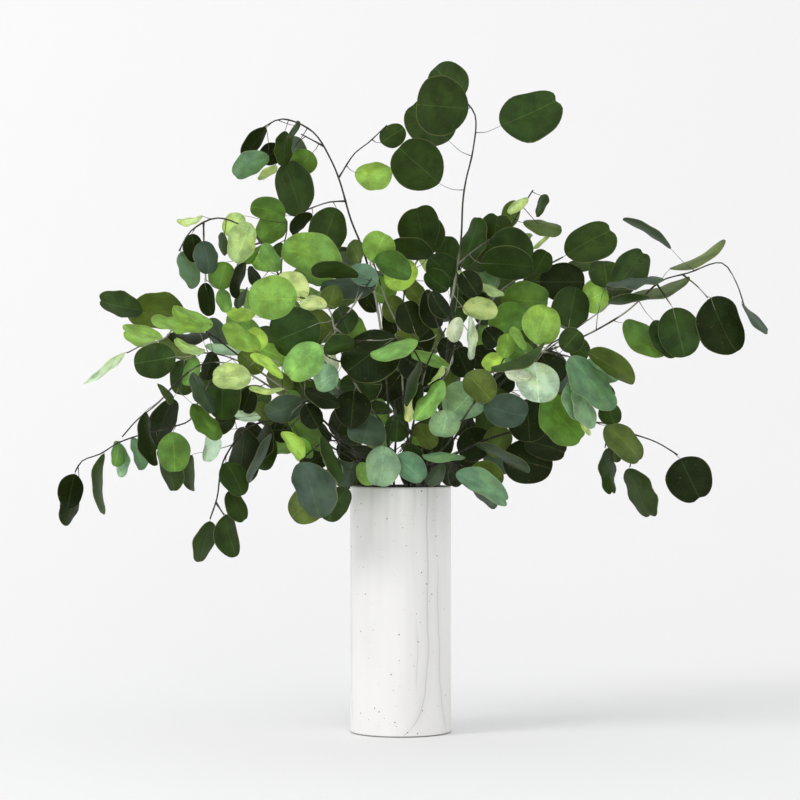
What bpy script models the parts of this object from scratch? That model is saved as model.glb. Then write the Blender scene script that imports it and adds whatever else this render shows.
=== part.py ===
"""A bunch of round-leaved eucalyptus branches in a glazed cylinder vase, in metres, +Z up.

The origin is the middle of the vase's underside, and the front is towards -Y.
"""

import math
import random

import bmesh
import bpy
from mathutils import Matrix, Vector
from mathutils.bvhtree import BVHTree

MM = 0.001

# The vase
VASE_ACROSS = 0.101
VASE_HIGH = 0.2456
VASE_WALL = 0.005
VASE_FLOOR = 0.008
VASE_SIDES = 24
FOOT_ROUND = 0.002
LIP_FLAT = 0.7
WATER_TOP = 0.188
WATER_GAP = 0.0004
HOLE_GAP = 0.0006
HOLE_CORNERS = 1.45
HOLE_BELOW = 0.02
WELD = 0.00001

# The front view that places were read in: eye height and distance, and where the vase's axis shows
AXIS_COLUMN = 400.6
EYE_ROW = 400
EYE_HEIGHT = 0.3315
EYE_AWAY = 2.68

# The stems: where they stand in the vase and pass its mouth, by ring (distances from the axis)
STEM_FOOT = VASE_FLOOR + 0.0005
MOUTH_TOP = VASE_HIGH + 0.014
RINGS = {"inner": (0.0115, 0.0165), "outer": (0.0285, 0.0385)}
STEM_STEP = 0.035
TWIG_STEP = 0.022
STEP_LEAST = 0.6
STEM_TIP = 0.0011
TWIG_ROOT = 0.0014
TWIG_TIP = 0.0011
TAPER = 0.8

# The leaves
LEAF_BREADTH = 0.88
LEAF_LEAST = 0.026
BLADE_THICK = 0.0008
STALK_HALF = 0.0007
STALK_SUNK = 0.003
CUPS = (0.04, 0.16)
BOWS = (-0.08, 0.06)
BREADTH_LOOSE = (0.94, 1.06)
LEAN_LOOSE = 0.2
RIB_AT = 0.45
BROAD_LEAST = 0.3
BROAD_LEAF = 0.064
RIBBED_LEAF = 0.050
SIDES_BROAD = 3
SIDES_SMALL = 2

# Room kept clear round what is laid out
STEM_ROOM = 0.0036
TWIG_ROOM = 0.0026
TWIG_CLEAR = 0.0055
LEAF_ROOM = 0.0011
BLADE_GROWN = 1.05
BACK_TRIES = [0, 4, -4, 8, -8, 12, -12, 17, -17, 23, -23, 30, -30, 38, -38, 46, -46, 56, 66]
WOOD = " wood"
BUD_PARTS = (0.2, 0.5, 0.8)
BENT = 0.1
STALK_LEAST = 0.004
STALK_CHECKED = 0.85
ASIDE_COST = 0.9
POOR_COST = 0.03
ROOT_PICKS = (0, 1, 3)
DRUM_SIDES = 24
DRUM_MORE = 0.0015

# How often a leaf's upper face shows: for leaves below and above the eye
UPWARD_BELOW = 0.8
UPWARD_ABOVE = 0.3

# The leaves that no front view shows
FILLED = {"back_left": 2, "back_mid": 2, "back_right": 2, "upper_centre": 3, "upper_right": 3, "left": 3}
FILL_TRIES = 7
FILL_LENGTHS = (0.034, 0.052)
FILL_STALKS = (0.012, 0.026)
FILL_SPREADS = (0.7, 1.3)
FILL_TURN = 2.4
FILL_ASIDE = 0.9
FILL_DROP = 0.5
FILL_ROLL = 0.9
HIDE_SPOTS = [(0.5, 0), (0.15, 0), (0.95, 0), (0.5, 0.9), (0.5, -0.9)]
HIDE_MORE = 0.002
SEED = 11

# Each branch, read by eye from a front view in which a pixel is a millimetre at the vase's axis:
# where it stands in the mouth (ring, bearing in degrees, 0 to the right and 90 to the back), how thick
# its stem is at the foot (mm), the way of the stem and of its twigs (column, row, mm behind the axis),
# and its leaves (foot column and row, tip column and row, breadth seen, mm that the leaf stands back).
BRANCHES = {
    "front_left_low": (
        "outer", 234, 4.4,
        [(362, 456, -62), (344, 442, -80), (324, 442, -92), (306, 455, -98)],
        [
            [(344, 442, -80), (338, 462, -90), (333, 480, -96)],
        ],
        [
            (304, 461, 321, 518, 40, -4), (326, 490, 291, 517, 35, 6), (346, 487, 327, 521, 27, 4),
            (321, 436, 344, 482, 13, -8), (325, 455, 341, 483, 14, 0), (378, 455, 350, 450, 12, 0),
            (362, 462, 369, 486, 18, -6),
        ],
    ),
    "centre_left": (
        "inner", 225, 5.2,
        [(385, 430, -42), (365, 400, -66), (348, 370, -88), (335, 332, -98), (328, 308, -104),
         (317, 300, -107), (300, 297, -110)],
        [
            [(348, 370, -88), (330, 358, -96), (316, 346, -100)],
            [(365, 400, -66), (335, 396, -84), (308, 400, -92), (292, 412, -96)],
            [(335, 332, -98), (350, 310, -92), (364, 290, -84), (372, 278, -78)],
            [(335, 332, -98), (352, 340, -104), (372, 340, -108)],
            [(335, 396, -84), (310, 379, -88), (286, 367, -90), (266, 357, -92)],
            [(308, 400, -92), (298, 418, -90), (288, 429, -88)],
        ],
        [
            (320, 345, 287, 376, 34, -14), (319, 323, 271, 343, 50, 0), (297, 297, 249, 300, 42, -4),
            (396, 338, 346, 374, 50, 4), (354, 341, 323, 350, 19, -6), (350, 334, 338, 308, 28, 0),
            (327, 303, 300, 305, 14, -8), (335, 285, 328, 309, 22, -6), (309, 293, 276, 281, 27, 0),
            (344, 266, 283, 246, 42, 4), (359, 272, 311, 270, 16, -2), (376, 288, 320, 288, 24, -6),
            (378, 282, 350, 268, 22, 0), (321, 345, 338, 370, 12, -4), (304, 400, 266, 415, 26, 0),
            (304, 392, 340, 405, 16, -6), (305, 404, 318, 428, 22, 2), (288, 415, 326, 450, 20, 4),
            (283, 431, 303, 459, 15, 0), (300, 437, 309, 459, 13, 0), (258, 352, 226, 323, 22, 0),
            (283, 378, 252, 353, 10, 4), (354, 391, 351, 427, 36, 6), (382, 383, 340, 386, 26, 4),
            (338, 372, 314, 384, 26, 4),
        ],
    ),
    "centre_front": (
        "inner", 300, 5.0,
        [(412, 430, -60), (420, 395, -86), (427, 365, -100), (433, 346, -108), (438, 333, -110),
         (446, 328, -112)],
        [
            [(420, 395, -86), (440, 380, -98), (450, 365, -104), (455, 345, -108)],
            [(412, 430, -60), (398, 418, -76), (390, 408, -84)],
            [(427, 365, -100), (412, 348, -106), (400, 340, -110)],
            [(438, 333, -110), (434, 315, -108), (428, 298, -106)],
            [(412, 430, -60), (406, 444, -78), (400, 452, -88)],
        ],
        [
            (448, 410, 441, 438, 30, -12), (420, 361, 403, 405, 10, -6), (411, 392, 408, 422, 13, -4),
            (420, 384, 415, 414, 10, 0), (444, 381, 416, 421, 18, 0), (443, 367, 431, 385, 5, -4),
            (450, 366, 412, 354, 12, 0), (418, 342, 371, 356, 16, -6), (395, 333, 418, 342, 14, 0),
            (425, 290, 437, 328, 20, 0), (430, 292, 447, 318, 18, 6), (415, 333, 404, 302, 28, 8),
            (385, 446, 379, 486, 34, -6), (370, 416, 363, 446, 38, 0), (397, 455, 424, 480, 26, -2),
            (424, 452, 402, 449, 12, 0), (392, 408, 368, 410, 14, 0), (398, 414, 396, 442, 24, 4),
            (418, 424, 434, 448, 20, 6),
        ],
    ),
    "front_right": (
        "outer", 318, 4.8,
        [(450, 440, -56), (478, 398, -90), (500, 375, -106), (513, 362, -113), (537, 352, -120),
         (555, 352, -124), (565, 360, -126), (569, 380, -126)],
        [
            [(478, 398, -90), (470, 384, -100), (466, 374, -106)],
            [(500, 375, -106), (503, 360, -104), (510, 348, -100), (514, 338, -96)],
            [(555, 352, -124), (573, 358, -122), (590, 372, -119), (600, 392, -114)],
            [(513, 362, -113), (530, 372, -108), (544, 387, -104)],
            [(537, 352, -120), (552, 343, -112), (566, 336, -104)],
        ],
        [
            (536, 362, 539, 403, 41, -6), (505, 371, 530, 380, 14, -8), (569, 380, 582, 420, 20, -6),
            (571, 382, 588, 437, 6, 0), (577, 380, 594, 428, 18, 4), (570, 357, 613, 410, 30, 0),
            (541, 397, 580, 441, 38, 8), (588, 386, 613, 399, 20, 6), (607, 402, 614, 425, 22, 8),
            (547, 346, 487, 374, 9, -12), (503, 366, 484, 357, 20, 0), (467, 373, 492, 400, 30, 0),
            (478, 385, 450, 415, 42, -6), (484, 405, 527, 417, 34, 4), (521, 349, 517, 329, 12, 0),
            (505, 358, 507, 333, 17, 0), (589, 351, 636, 380, 21, 4), (563, 350, 580, 330, 24, 0),
            (570, 343, 589, 356, 22, 4), (536, 345, 548, 307, 38, 6),
        ],
    ),
    "front_low_right": (
        "outer", 292, 4.0,
        [(430, 464, -64), (446, 460, -82), (462, 464, -94), (471, 470, -98)],
        [],
        [
            (458, 471, 510, 501, 24, 0), (472, 466, 502, 484, 26, 6), (468, 477, 497, 507, 16, 5),
            (465, 457, 422, 458, 8, -6), (445, 465, 427, 485, 14, -4), (451, 464, 456, 482, 12, 4),
        ],
    ),
    "crown": (
        "inner", 20, 6.0,
        [(432, 420, 8), (446, 360, 6), (452, 300, 2), (457, 270, 0), (461, 240, -4), (465, 222, -8),
         (463, 200, -6), (466, 180, 0), (468, 163, 2), (473, 150, 4), (475, 115, 6), (470, 101, 6),
         (463, 98, 4)],
        [
            [(457, 270, 0), (472, 252, -6), (486, 242, -10), (495, 236, -12)],
        ],
        [
            (466, 108, 413, 104, 60, -10), (463, 98, 433, 65, 44, 4), (449, 142, 412, 105, 48, 6),
            (438, 182, 397, 146, 52, 0), (501, 127, 560, 100, 50, 0), (463, 268, 481, 218, 24, 4),
            (487, 243, 530, 260, 50, 0), (481, 262, 534, 266, 34, -4), (492, 262, 498, 213, 38, 8),
            (457, 272, 503, 296, 9, -8), (463, 306, 497, 314, 23, -8), (455, 318, 456, 341, 17, -10),
            (471, 316, 471, 360, 9, -10), (457, 283, 430, 257, 34, 8), (462, 272, 478, 296, 24, 6),
            (448, 290, 426, 272, 22, 8),
        ],
    ),
    "low_left": (
        "outer", 193, 4.4,
        [(330, 446, -20), (300, 429, -28), (270, 421, -34), (246, 430, -40), (231, 443, -45),
         (223, 462, -48), (219, 481, -50), (217, 498, -50), (210, 519, -50)],
        [
            [(217, 498, -50), (221, 507, -52), (224, 515, -54)],
        ],
        [
            (209, 521, 199, 562, 20, 0), (223, 515, 234, 557, 24, 0), (228, 491, 244, 521, 20, 0),
            (226, 462, 243, 495, 26, -4), (246, 427, 238, 486, 32, 6), (272, 434, 247, 482, 9, -6),
            (270, 425, 252, 465, 18, 0), (268, 432, 262, 470, 24, 6), (213, 430, 207, 462, 16, 0),
            (190, 455, 189, 491, 13, 6), (235, 417, 260, 415, 12, -4), (300, 426, 284, 404, 22, 0),
            (298, 430, 270, 430, 24, 4),
        ],
    ),
    "left_lower": (
        "outer", 207, 4.8,
        [(335, 438, -46), (285, 397, -62), (246, 372, -74), (226, 363, -80), (200, 365, -85),
         (179, 380, -90), (174, 397, -92), (158, 403, -95), (137, 420, -100), (122, 437, -102)],
        [
            [(226, 363, -80), (210, 384, -74), (198, 402, -72), (190, 420, -72), (172, 427, -74),
             (140, 435, -78), (118, 443, -82), (100, 454, -86), (82, 461, -88), (75, 472, -90)],
        ],
        [
            (74, 474, 67, 508, 25, 0), (78, 486, 62, 529, 20, 6), (99, 454, 100, 515, 10, 2),
            (119, 441, 116, 466, 14, 0), (121, 442, 122, 477, 12, 4), (134, 437, 143, 470, 15, 0),
            (143, 412, 154, 466, 15, 0), (171, 398, 153, 449, 26, 6), (172, 397, 160, 390, 12, 0),
            (173, 432, 175, 472, 32, -6), (163, 447, 177, 490, 22, 6), (191, 405, 220, 439, 19, 0),
            (191, 373, 212, 414, 13, -6), (224, 375, 222, 420, 35, 0), (251, 378, 212, 376, 26, -6),
            (252, 388, 243, 412, 20, 4), (262, 350, 250, 329, 22, 0), (284, 391, 249, 389, 6, -6),
        ],
    ),
    "upper_left": (
        "outer", 180, 5.0,
        [(352, 420, -4), (312, 340, -8), (277, 272, -12), (256, 236, -16), (243, 220, -20),
         (218, 218, -26), (202, 226, -28), (191, 231, -30), (180, 240, -34), (179, 251, -37)],
        [
            [(277, 272, -12), (283, 250, -8), (287, 230, -6), (287, 221, -6)],
            [(256, 236, -16), (243, 250, -24), (236, 270, -28), (230, 284, -30)],
            [(202, 226, -28), (204, 246, -36), (205, 268, -38), (206, 282, -38)],
        ],
        [
            (243, 215, 224, 233, 20, -4), (250, 223, 233, 262, 29, -8), (203, 218, 177, 223, 7, 0),
            (191, 234, 196, 262, 20, 0), (203, 241, 209, 274, 24, -4), (181, 252, 197, 287, 20, 0),
            (225, 234, 221, 253, 12, 0), (286, 219, 256, 240, 28, 0), (264, 243, 276, 272, 18, -4),
            (277, 243, 275, 264, 15, 4), (256, 246, 249, 262, 12, 0), (226, 262, 218, 289, 26, 0),
            (244, 262, 234, 298, 12, 0), (247, 270, 261, 283, 14, 0), (248, 291, 236, 303, 10, 0),
            (219, 290, 229, 311, 15, 0), (256, 314, 226, 312, 14, 6), (204, 283, 210, 316, 17, 0),
            (300, 318, 276, 300, 24, 6), (318, 352, 296, 330, 26, 10),
        ],
    ),
    "left": (
        "outer", 155, 4.8,
        [(345, 442, 22), (303, 403, 30), (252, 366, 38), (214, 337, 42), (185, 320, 45), (152, 315, 48)],
        [
            [(185, 320, 45), (165, 338, 40), (143, 345, 36), (127, 353, 32)],
            [(252, 366, 38), (225, 356, 30), (204, 353, 24), (190, 356, 20)],
        ],
        [
            (143, 310, 98, 300, 25, 0), (184, 309, 127, 313, 38, 4), (124, 353, 86, 386, 9, 0),
            (212, 327, 171, 310, 21, -6), (197, 329, 151, 321, 15, -6), (163, 338, 122, 328, 12, 0),
            (176, 357, 134, 364, 36, 0), (185, 360, 180, 395, 30, 0), (204, 354, 174, 341, 10, -4),
            (247, 353, 205, 345, 11, -4), (196, 357, 187, 386, 16, 4), (212, 335, 167, 338, 12, 4),
            (335, 436, 352, 404, 30, 4), (214, 352, 206, 380, 18, 4), (262, 372, 240, 352, 24, 6),
            (292, 392, 268, 372, 22, 6),
        ],
    ),
    "arch": (
        "inner", 140, 5.6,
        [(388, 400, 25), (376, 300, 35), (362, 247, 32), (351, 220, 28), (345, 205, 25), (340, 182, 20),
         (332, 162, 20), (327, 150, 20), (313, 132, 14), (298, 123, 8), (282, 119, 2), (268, 125, -6),
         (262, 128, -8)],
        [
            [(339, 176, 20), (355, 153, 22), (368, 143, 22), (387, 125, 22)],
            [(345, 205, 25), (330, 202, 18), (314, 207, 12), (304, 211, 10)],
            [(327, 150, 20), (314, 141, 22), (301, 134, 24)],
        ],
        [
            (267, 153, 234, 176, 24, -6), (265, 127, 243, 158, 16, 0), (284, 147, 261, 160, 22, 0),
            (284, 131, 283, 166, 18, 4), (294, 136, 299, 172, 20, 0), (313, 152, 296, 172, 27, 0),
            (275, 165, 261, 180, 10, 0), (302, 215, 285, 163, 39, -4), (286, 214, 251, 205, 25, 0),
            (335, 208, 321, 252, 39, -6), (311, 213, 290, 233, 14, 0), (381, 143, 404, 128, 24, 0),
            (355, 173, 392, 178, 28, 0), (360, 262, 350, 242, 20, -8), (299, 126, 288, 138, 8, 0),
        ],
    ),
    "upper_centre": (
        "outer", 72, 4.6,
        [(405, 420, 52), (402, 340, 62), (406, 285, 60), (420, 254, 54), (426, 230, 48), (427, 214, 46)],
        [
            [(402, 340, 62), (386, 300, 44), (376, 270, 34), (372, 258, 30)],
        ],
        [
            (425, 250, 416, 206, 43, 0), (430, 254, 428, 216, 32, 4), (434, 253, 386, 246, 22, -6),
            (372, 262, 385, 234, 34, -4), (375, 258, 412, 274, 26, -8), (386, 285, 416, 265, 31, 0),
            (435, 275, 414, 248, 9, -4), (404, 318, 384, 300, 26, 0), (398, 352, 424, 372, 34, 0),
            (404, 350, 432, 328, 34, 6), (402, 372, 382, 398, 34, 6),
        ],
    ),
    "upper_right": (
        "outer", 32, 4.8,
        [(446, 420, 38), (470, 345, 50), (490, 303, 54), (511, 283, 56), (534, 272, 54), (547, 262, 52),
         (563, 257, 50)],
        [
            [(490, 303, 54), (500, 262, 48), (508, 236, 44), (517, 215, 42), (528, 198, 40),
             (533, 190, 40)],
        ],
        [
            (528, 198, 508, 213, 10, -4), (542, 196, 540, 215, 12, 0), (523, 223, 562, 230, 15, 0),
            (566, 255, 613, 230, 40, 0), (535, 272, 547, 251, 24, 0), (540, 282, 585, 282, 40, -6),
            (501, 298, 549, 302, 34, -8), (530, 310, 490, 330, 33, -12), (462, 358, 440, 342, 26, 2),
            (470, 352, 500, 366, 28, 0), (496, 290, 478, 270, 24, 0), (550, 236, 534, 246, 6, 0),
            (486, 330, 500, 346, 24, 6), (468, 376, 456, 348, 28, 8), (488, 300, 462, 298, 20, 4),
        ],
    ),
    "right": (
        "outer", 8, 5.0,
        [(460, 430, 14), (502, 382, 18), (546, 352, 16), (580, 338, 10), (600, 328, 6), (626, 312, 0),
         (642, 298, -4), (661, 281, -8), (688, 273, -10), (706, 267, -11), (722, 263, -12),
         (731, 269, -13), (736, 282, -14), (744, 305, -15)],
        [
            [(688, 273, -10), (697, 286, -14), (708, 298, -16)],
            [(661, 281, -8), (666, 293, -12), (671, 305, -14)],
            [(546, 352, 16), (574, 330, 24), (598, 313, 26), (612, 302, 26), (632, 289, 24)],
        ],
        [
            (709, 298, 734, 353, 47, 0), (673, 308, 685, 357, 42, 0), (622, 325, 668, 353, 28, 0),
            (653, 321, 676, 357, 24, 6), (672, 247, 624, 217, 9, 4), (672, 273, 726, 243, 10, 0),
            (741, 305, 768, 333, 8, 0), (568, 328, 576, 287, 39, 0), (608, 289, 583, 304, 34, -6),
            (607, 288, 603, 259, 34, 0), (617, 288, 645, 251, 35, 4), (650, 298, 608, 302, 9, 2),
            (633, 298, 691, 281, 12, 0), (607, 286, 664, 278, 9, -4), (540, 352, 560, 384, 34, 4),
            (520, 368, 540, 392, 30, 8), (500, 388, 484, 434, 34, 8), (534, 358, 508, 348, 24, 6),
            (514, 378, 492, 388, 24, 6),
        ],
    ),
    "right_lower": (
        "outer", 344, 4.6,
        [(472, 446, -22), (520, 430, -35), (570, 425, -45), (603, 423, -48), (630, 433, -50),
         (656, 442, -52), (668, 448, -52), (678, 455, -52)],
        [
            [(630, 433, -50), (633, 450, -54), (630, 467, -56)],
            [(603, 423, -48), (606, 436, -52), (605, 448, -54)],
        ],
        [
            (680, 458, 700, 499, 46, 0), (630, 468, 650, 519, 25, 0), (607, 448, 611, 495, 16, -4),
            (606, 425, 641, 460, 28, -4), (608, 435, 618, 462, 12, 4), (476, 443, 530, 471, 11, -6),
            (503, 455, 552, 469, 44, 0), (525, 440, 566, 452, 28, 0), (527, 400, 530, 443, 42, 4),
            (505, 427, 492, 457, 28, 0), (560, 418, 556, 392, 26, 4), (490, 436, 458, 452, 34, 6),
        ],
    ),
    "back_left": ("outer", 126, 4.6, [(368, 420, 80), (330, 368, 124), (298, 326, 156), (276, 296, 176)], [
        [(330, 368, 124), (312, 372, 150), (296, 380, 170)],
    ], []),
    "back_mid": ("outer", 100, 4.6, [(396, 420, 86), (388, 350, 128), (378, 296, 160), (370, 262, 184)], [
        [(388, 350, 128), (400, 338, 156), (412, 332, 178)],
    ], [(388, 446, 366, 496, 40, 14), (408, 446, 430, 498, 40, 14)]),
    "back_right": ("outer", 50, 4.6, [(448, 422, 82), (486, 368, 122), (518, 325, 154), (540, 296, 172)], [
        [(486, 368, 122), (500, 384, 146), (520, 396, 166)],
    ], []),
}


def seen(column, row, back):
    """The place that shows at this column and row of the front view, back millimetres behind the axis."""
    grow = (EYE_AWAY + back * MM) / EYE_AWAY * MM
    return Vector(((column - AXIS_COLUMN) * grow, back * MM, EYE_HEIGHT + (EYE_ROW - row) * grow))


def curved(points, step):
    """Points about a step apart on a smooth curve through these points."""
    found = []
    ends = [points[0] * 2 - points[1]] + points + [points[-1] * 2 - points[-2]]
    for a, b, c, d in zip(ends, ends[1:], ends[2:], ends[3:]):
        t1 = (b - a).length ** 0.5
        t2 = t1 + (c - b).length ** 0.5
        t3 = t2 + (d - c).length ** 0.5
        count = max(1, round((c - b).length / step))
        for k in range(count):
            t = t1 + (t2 - t1) * k / count
            ab = a * (t1 - t) / t1 + b * t / t1
            bc = b * (t2 - t) / (t2 - t1) + c * (t - t1) / (t2 - t1)
            cd = c * (t3 - t) / (t3 - t2) + d * (t - t2) / (t3 - t2)
            abc = ab * (t2 - t) / t2 + bc * t / t2
            bcd = bc * (t3 - t) / (t3 - t1) + cd * (t - t1) / (t3 - t1)
            found.append(abc * (t2 - t) / (t2 - t1) + bcd * (t - t1) / (t2 - t1))
    return found + [points[-1]]


def thinned(points, least):
    """These points without those nearer than least to the one kept before, but with both ends."""
    kept = [points[0]]
    for point in points[1:-1]:
        if (point - kept[-1]).length >= least and (point - points[-1]).length >= least * STEP_LEAST:
            kept.append(point)
    return kept + [points[-1]]


def stem_way(ring, bearing, route):
    """A stem's points: straight from the vase's floor to its mouth, then along its route."""
    foot_out, mouth_out = RINGS[ring]
    way = Vector((math.cos(math.radians(bearing)), math.sin(math.radians(bearing)), 0))
    foot = way * foot_out + Vector((0, 0, STEM_FOOT))
    mouth = way * mouth_out + Vector((0, 0, MOUTH_TOP))
    places = [seen(*place) for place in route]
    curve = curved([mouth.lerp(foot, 0.2), mouth] + places, STEM_STEP)
    first = next(k for k, point in enumerate(curve) if (point - mouth).length < 1e-6)
    return [foot] + thinned(curve[first:], STEM_STEP * STEP_LEAST)


def buds(ways):
    """The points of a branch that twigs and stalks start from: above the mouth, between its own points."""
    found = []
    for number, way in enumerate(ways):
        for one, other in list(zip(way, way[1:]))[0 if number else 1:]:
            found += [one.lerp(other, part) for part in BUD_PARTS]
    return found


def twig_way(route, carriers):
    """A twig's points, from the nearest bud of the stems and twigs before it."""
    places = [seen(*place) for place in route]
    root = min(buds(carriers), key=lambda point: (point - places[0]).length)
    if (root - places[0]).length < TWIG_STEP * 0.5:
        places = places[1:]
    return thinned(curved([root] + places, TWIG_STEP), TWIG_STEP * STEP_LEAST)


def root_of(foot, along, free, pick):
    """Where on its branch a leaf's stalk starts: near its foot, and behind it. Pick 0 is the best place."""
    def cost(point):
        stalk = foot - point
        behind = stalk.normalized().dot(along) if stalk.length > 0 else 1
        poor = stalk.length < STALK_LEAST or behind < BENT
        return stalk.length * (1 + ASIDE_COST * (1 - behind)) + (POOR_COST if poor else 0)
    places = sorted(free, key=cost)
    return places[min(pick, len(places) - 1)]


def leaf_from(foot, tip, breadth, root, cup, bow):
    """A leaf: where it is, its true size, and which way its face points."""
    along = (tip - foot).normalized()
    return {"foot": foot, "along": along, "across": None, "length": (tip - foot).length,
            "breadth": breadth, "root": root, "cup": cup, "bow": bow}


def read_leaf(row, wood, free, draw, turned, back, pick):
    """The leaf that shows like this row, with the length and breadth that the view foreshortens.

    Its bow and cup would set its middle aside, so the leaf is moved to show where the row has it.
    """
    column, line, tip_column, tip_line, breadth, depth = row
    flat_foot = seen(column, line, 0)
    flat_tip = seen(tip_column, tip_line, 0)
    shown = (flat_tip - flat_foot).length
    length = max(shown, breadth * MM / LEAF_BREADTH, LEAF_LEAST)
    lean = math.acos(min(1, shown / length)) * draw.choice((1, -1))
    lean += draw.uniform(-LEAN_LOOSE, LEAN_LOOSE)
    near = min(wood, key=lambda p: (p.x - flat_foot.x) ** 2 + (p.z - flat_foot.z) ** 2)
    far = near.y / MM + depth + back
    foot = seen(column, line, far)
    drop = length * math.sin(lean)
    tip = seen(tip_column, tip_line, far + drop / MM)
    true_breadth = max(LEAF_BREADTH * length * draw.uniform(*BREADTH_LOOSE), breadth * MM)
    sight = (foot - Vector((0, -EYE_AWAY, EYE_HEIGHT))).normalized()
    side = (tip - foot).normalized().cross(sight).normalized()
    roll = math.acos(min(1, breadth * MM / true_breadth))
    up_side = draw.random() < (UPWARD_BELOW if foot.z < EYE_HEIGHT else UPWARD_ABOVE)
    face = side.cross((tip - foot).normalized())
    if (face.z > 0) != up_side:
        roll = -roll
    if turned:
        roll = -roll
    root = root_of(foot, (tip - foot).normalized(), free, pick)
    leaf = leaf_from(foot, tip, true_breadth, root, draw.uniform(*CUPS), draw.uniform(*BOWS))
    leaf["across"] = Matrix.Rotation(roll, 3, leaf["along"]) @ side
    ring = [leaf_point(leaf, t, s * way) for t, s in outline(3) for way in (-1, 1)]
    off = sum(ring, Vector()) / len(ring) - (foot + tip) / 2
    leaf["foot"] = foot - Vector((off.x, 0, off.z))
    return leaf


def leaf_point(leaf, t, s):
    """The point at t of the leaf's length and s of its half breadth, on its cupped and bowed face."""
    half = leaf["breadth"] / 2
    face = leaf["across"].cross(leaf["along"])
    rise = leaf["cup"] * half * s * s + leaf["bow"] * leaf["length"] * 4 * t * (t - 1)
    return leaf["foot"] + leaf["along"] * leaf["length"] * t + leaf["across"] * half * s + face * rise


def outline(sides):
    """Half the rim of a blade from its foot: how far along it and across it each of these points lies."""
    turns = [math.pi * (k + 0.72) / (sides + 0.44) for k in range(sides)]
    return [((1 - math.cos(turn)) / 2, math.sin(turn) ** 0.9 * (1 + 0.1 * math.cos(turn))) for turn in turns]


def bent_back(leaf):
    """Whether the leaf points back along its own stalk, which is then a piece of its own."""
    return (leaf["foot"] - leaf["root"]).normalized().dot(leaf["along"]) < BENT


def blade_faces(leaf, sides, ribbed=True):
    """The middle surface of a leaf and its stalk: its rim, rib, the way each point is thick, and triangles.

    The stalk's root leans its two sides together underneath, so that it is three-sided there.
    """
    face = leaf["across"].cross(leaf["along"])
    way = (leaf["foot"] - leaf["root"]).normalized()
    broad = leaf["across"]
    if not bent_back(leaf):
        broad = way.cross(face)
        broad = broad.normalized() if broad.length > BROAD_LEAST else leaf["across"]
    neck = (broad + leaf["across"]).normalized()
    side = outline(sides)
    rim = [leaf["foot"] - neck * STALK_HALF]
    rim += [leaf_point(leaf, t, -s) for t, s in side]
    rim += [leaf_point(leaf, 1, 0)]
    rim += [leaf_point(leaf, t, s) for t, s in reversed(side)]
    rim += [leaf["foot"] + neck * STALK_HALF]
    count = len(rim)
    ups = [face] * (count + 1)
    tail = 0 if bent_back(leaf) else 2
    rib = [leaf_point(leaf, RIB_AT, 0)] if ribbed else []
    middle = count + tail if ribbed else sides + 1
    blade = [(k, (k + 1) % count, middle) for k in range(count) if middle not in (k, (k + 1) % count)]
    if not tail:
        return rim, rib, ups, blade
    stalk_up = broad.cross(way).normalized()
    if stalk_up.dot(face) < 0:
        stalk_up = -stalk_up
    aside = broad * STALK_HALF / 2
    lean = broad * STALK_HALF / BLADE_THICK
    rim += [leaf["root"] + aside, leaf["root"] - aside]
    faces = blade + [(0, count - 1, count), (0, count, count + 1)]
    return rim, rib, ups[1:] + [stalk_up + lean, stalk_up - lean, face], faces


def closed_blade(rim, rib, ups, faces, half):
    """A surface made a closed shape, half as thick each way, with its triangles alike on both faces."""
    points = rim + rib
    count = len(points)
    shape = [point + up * half for point, up in zip(points, ups)]
    shape += [point - up * half for point, up in zip(points, ups)]
    shell = [(a, c, b) for a, b, c in faces] + [(a + count, b + count, c + count) for a, b, c in faces]
    for k in range(len(rim)):
        after = (k + 1) % len(rim)
        shell += [(k, after, after + count), (k, after + count, k + count)]
    return shape, shell


def thick_blade(leaf, clear, stalk=True):
    """A leaf as a closed shape that is clear thicker each way, with the outer part of its stalk or none."""
    rim, rib, ups, faces = blade_faces(leaf, 2)
    blade = 7
    if stalk and not bent_back(leaf):
        reach = leaf["foot"] - leaf["root"]
        for end in (blade, blade + 1):
            rim[end] = rim[end] + reach * min(STALK_CHECKED, TWIG_CLEAR / reach.length)
    else:
        rim = rim[:blade]
        ups = ups[:blade] + ups[-1:]
        faces = [(k, (k + 1) % blade, blade) for k in range(blade)]
    middle = leaf_point(leaf, 0.5, 0)
    wide = [middle + (point - middle) * BLADE_GROWN for point in rim]
    return closed_blade(wide, rib, ups, faces, clear)


def thick_way(points, radius):
    """A four-sided tube round these points, as a closed shape."""
    shape = []
    shell = []
    for k, point in enumerate(points):
        way = (points[min(k + 1, len(points) - 1)] - points[max(k - 1, 0)]).normalized()
        one = way.orthogonal().normalized()
        if shape:
            one = (last - way * last.dot(way)).normalized()
        last = one
        two = way.cross(one)
        shape += [point + one * radius, point + two * radius, point - one * radius, point - two * radius]
    for k in range(len(points) - 1):
        for j in range(4):
            a, b = 4 * k + j, 4 * k + (j + 1) % 4
            shell += [(a, b, b + 4), (a, b + 4, a + 4)]
    return shape, shell


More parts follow.
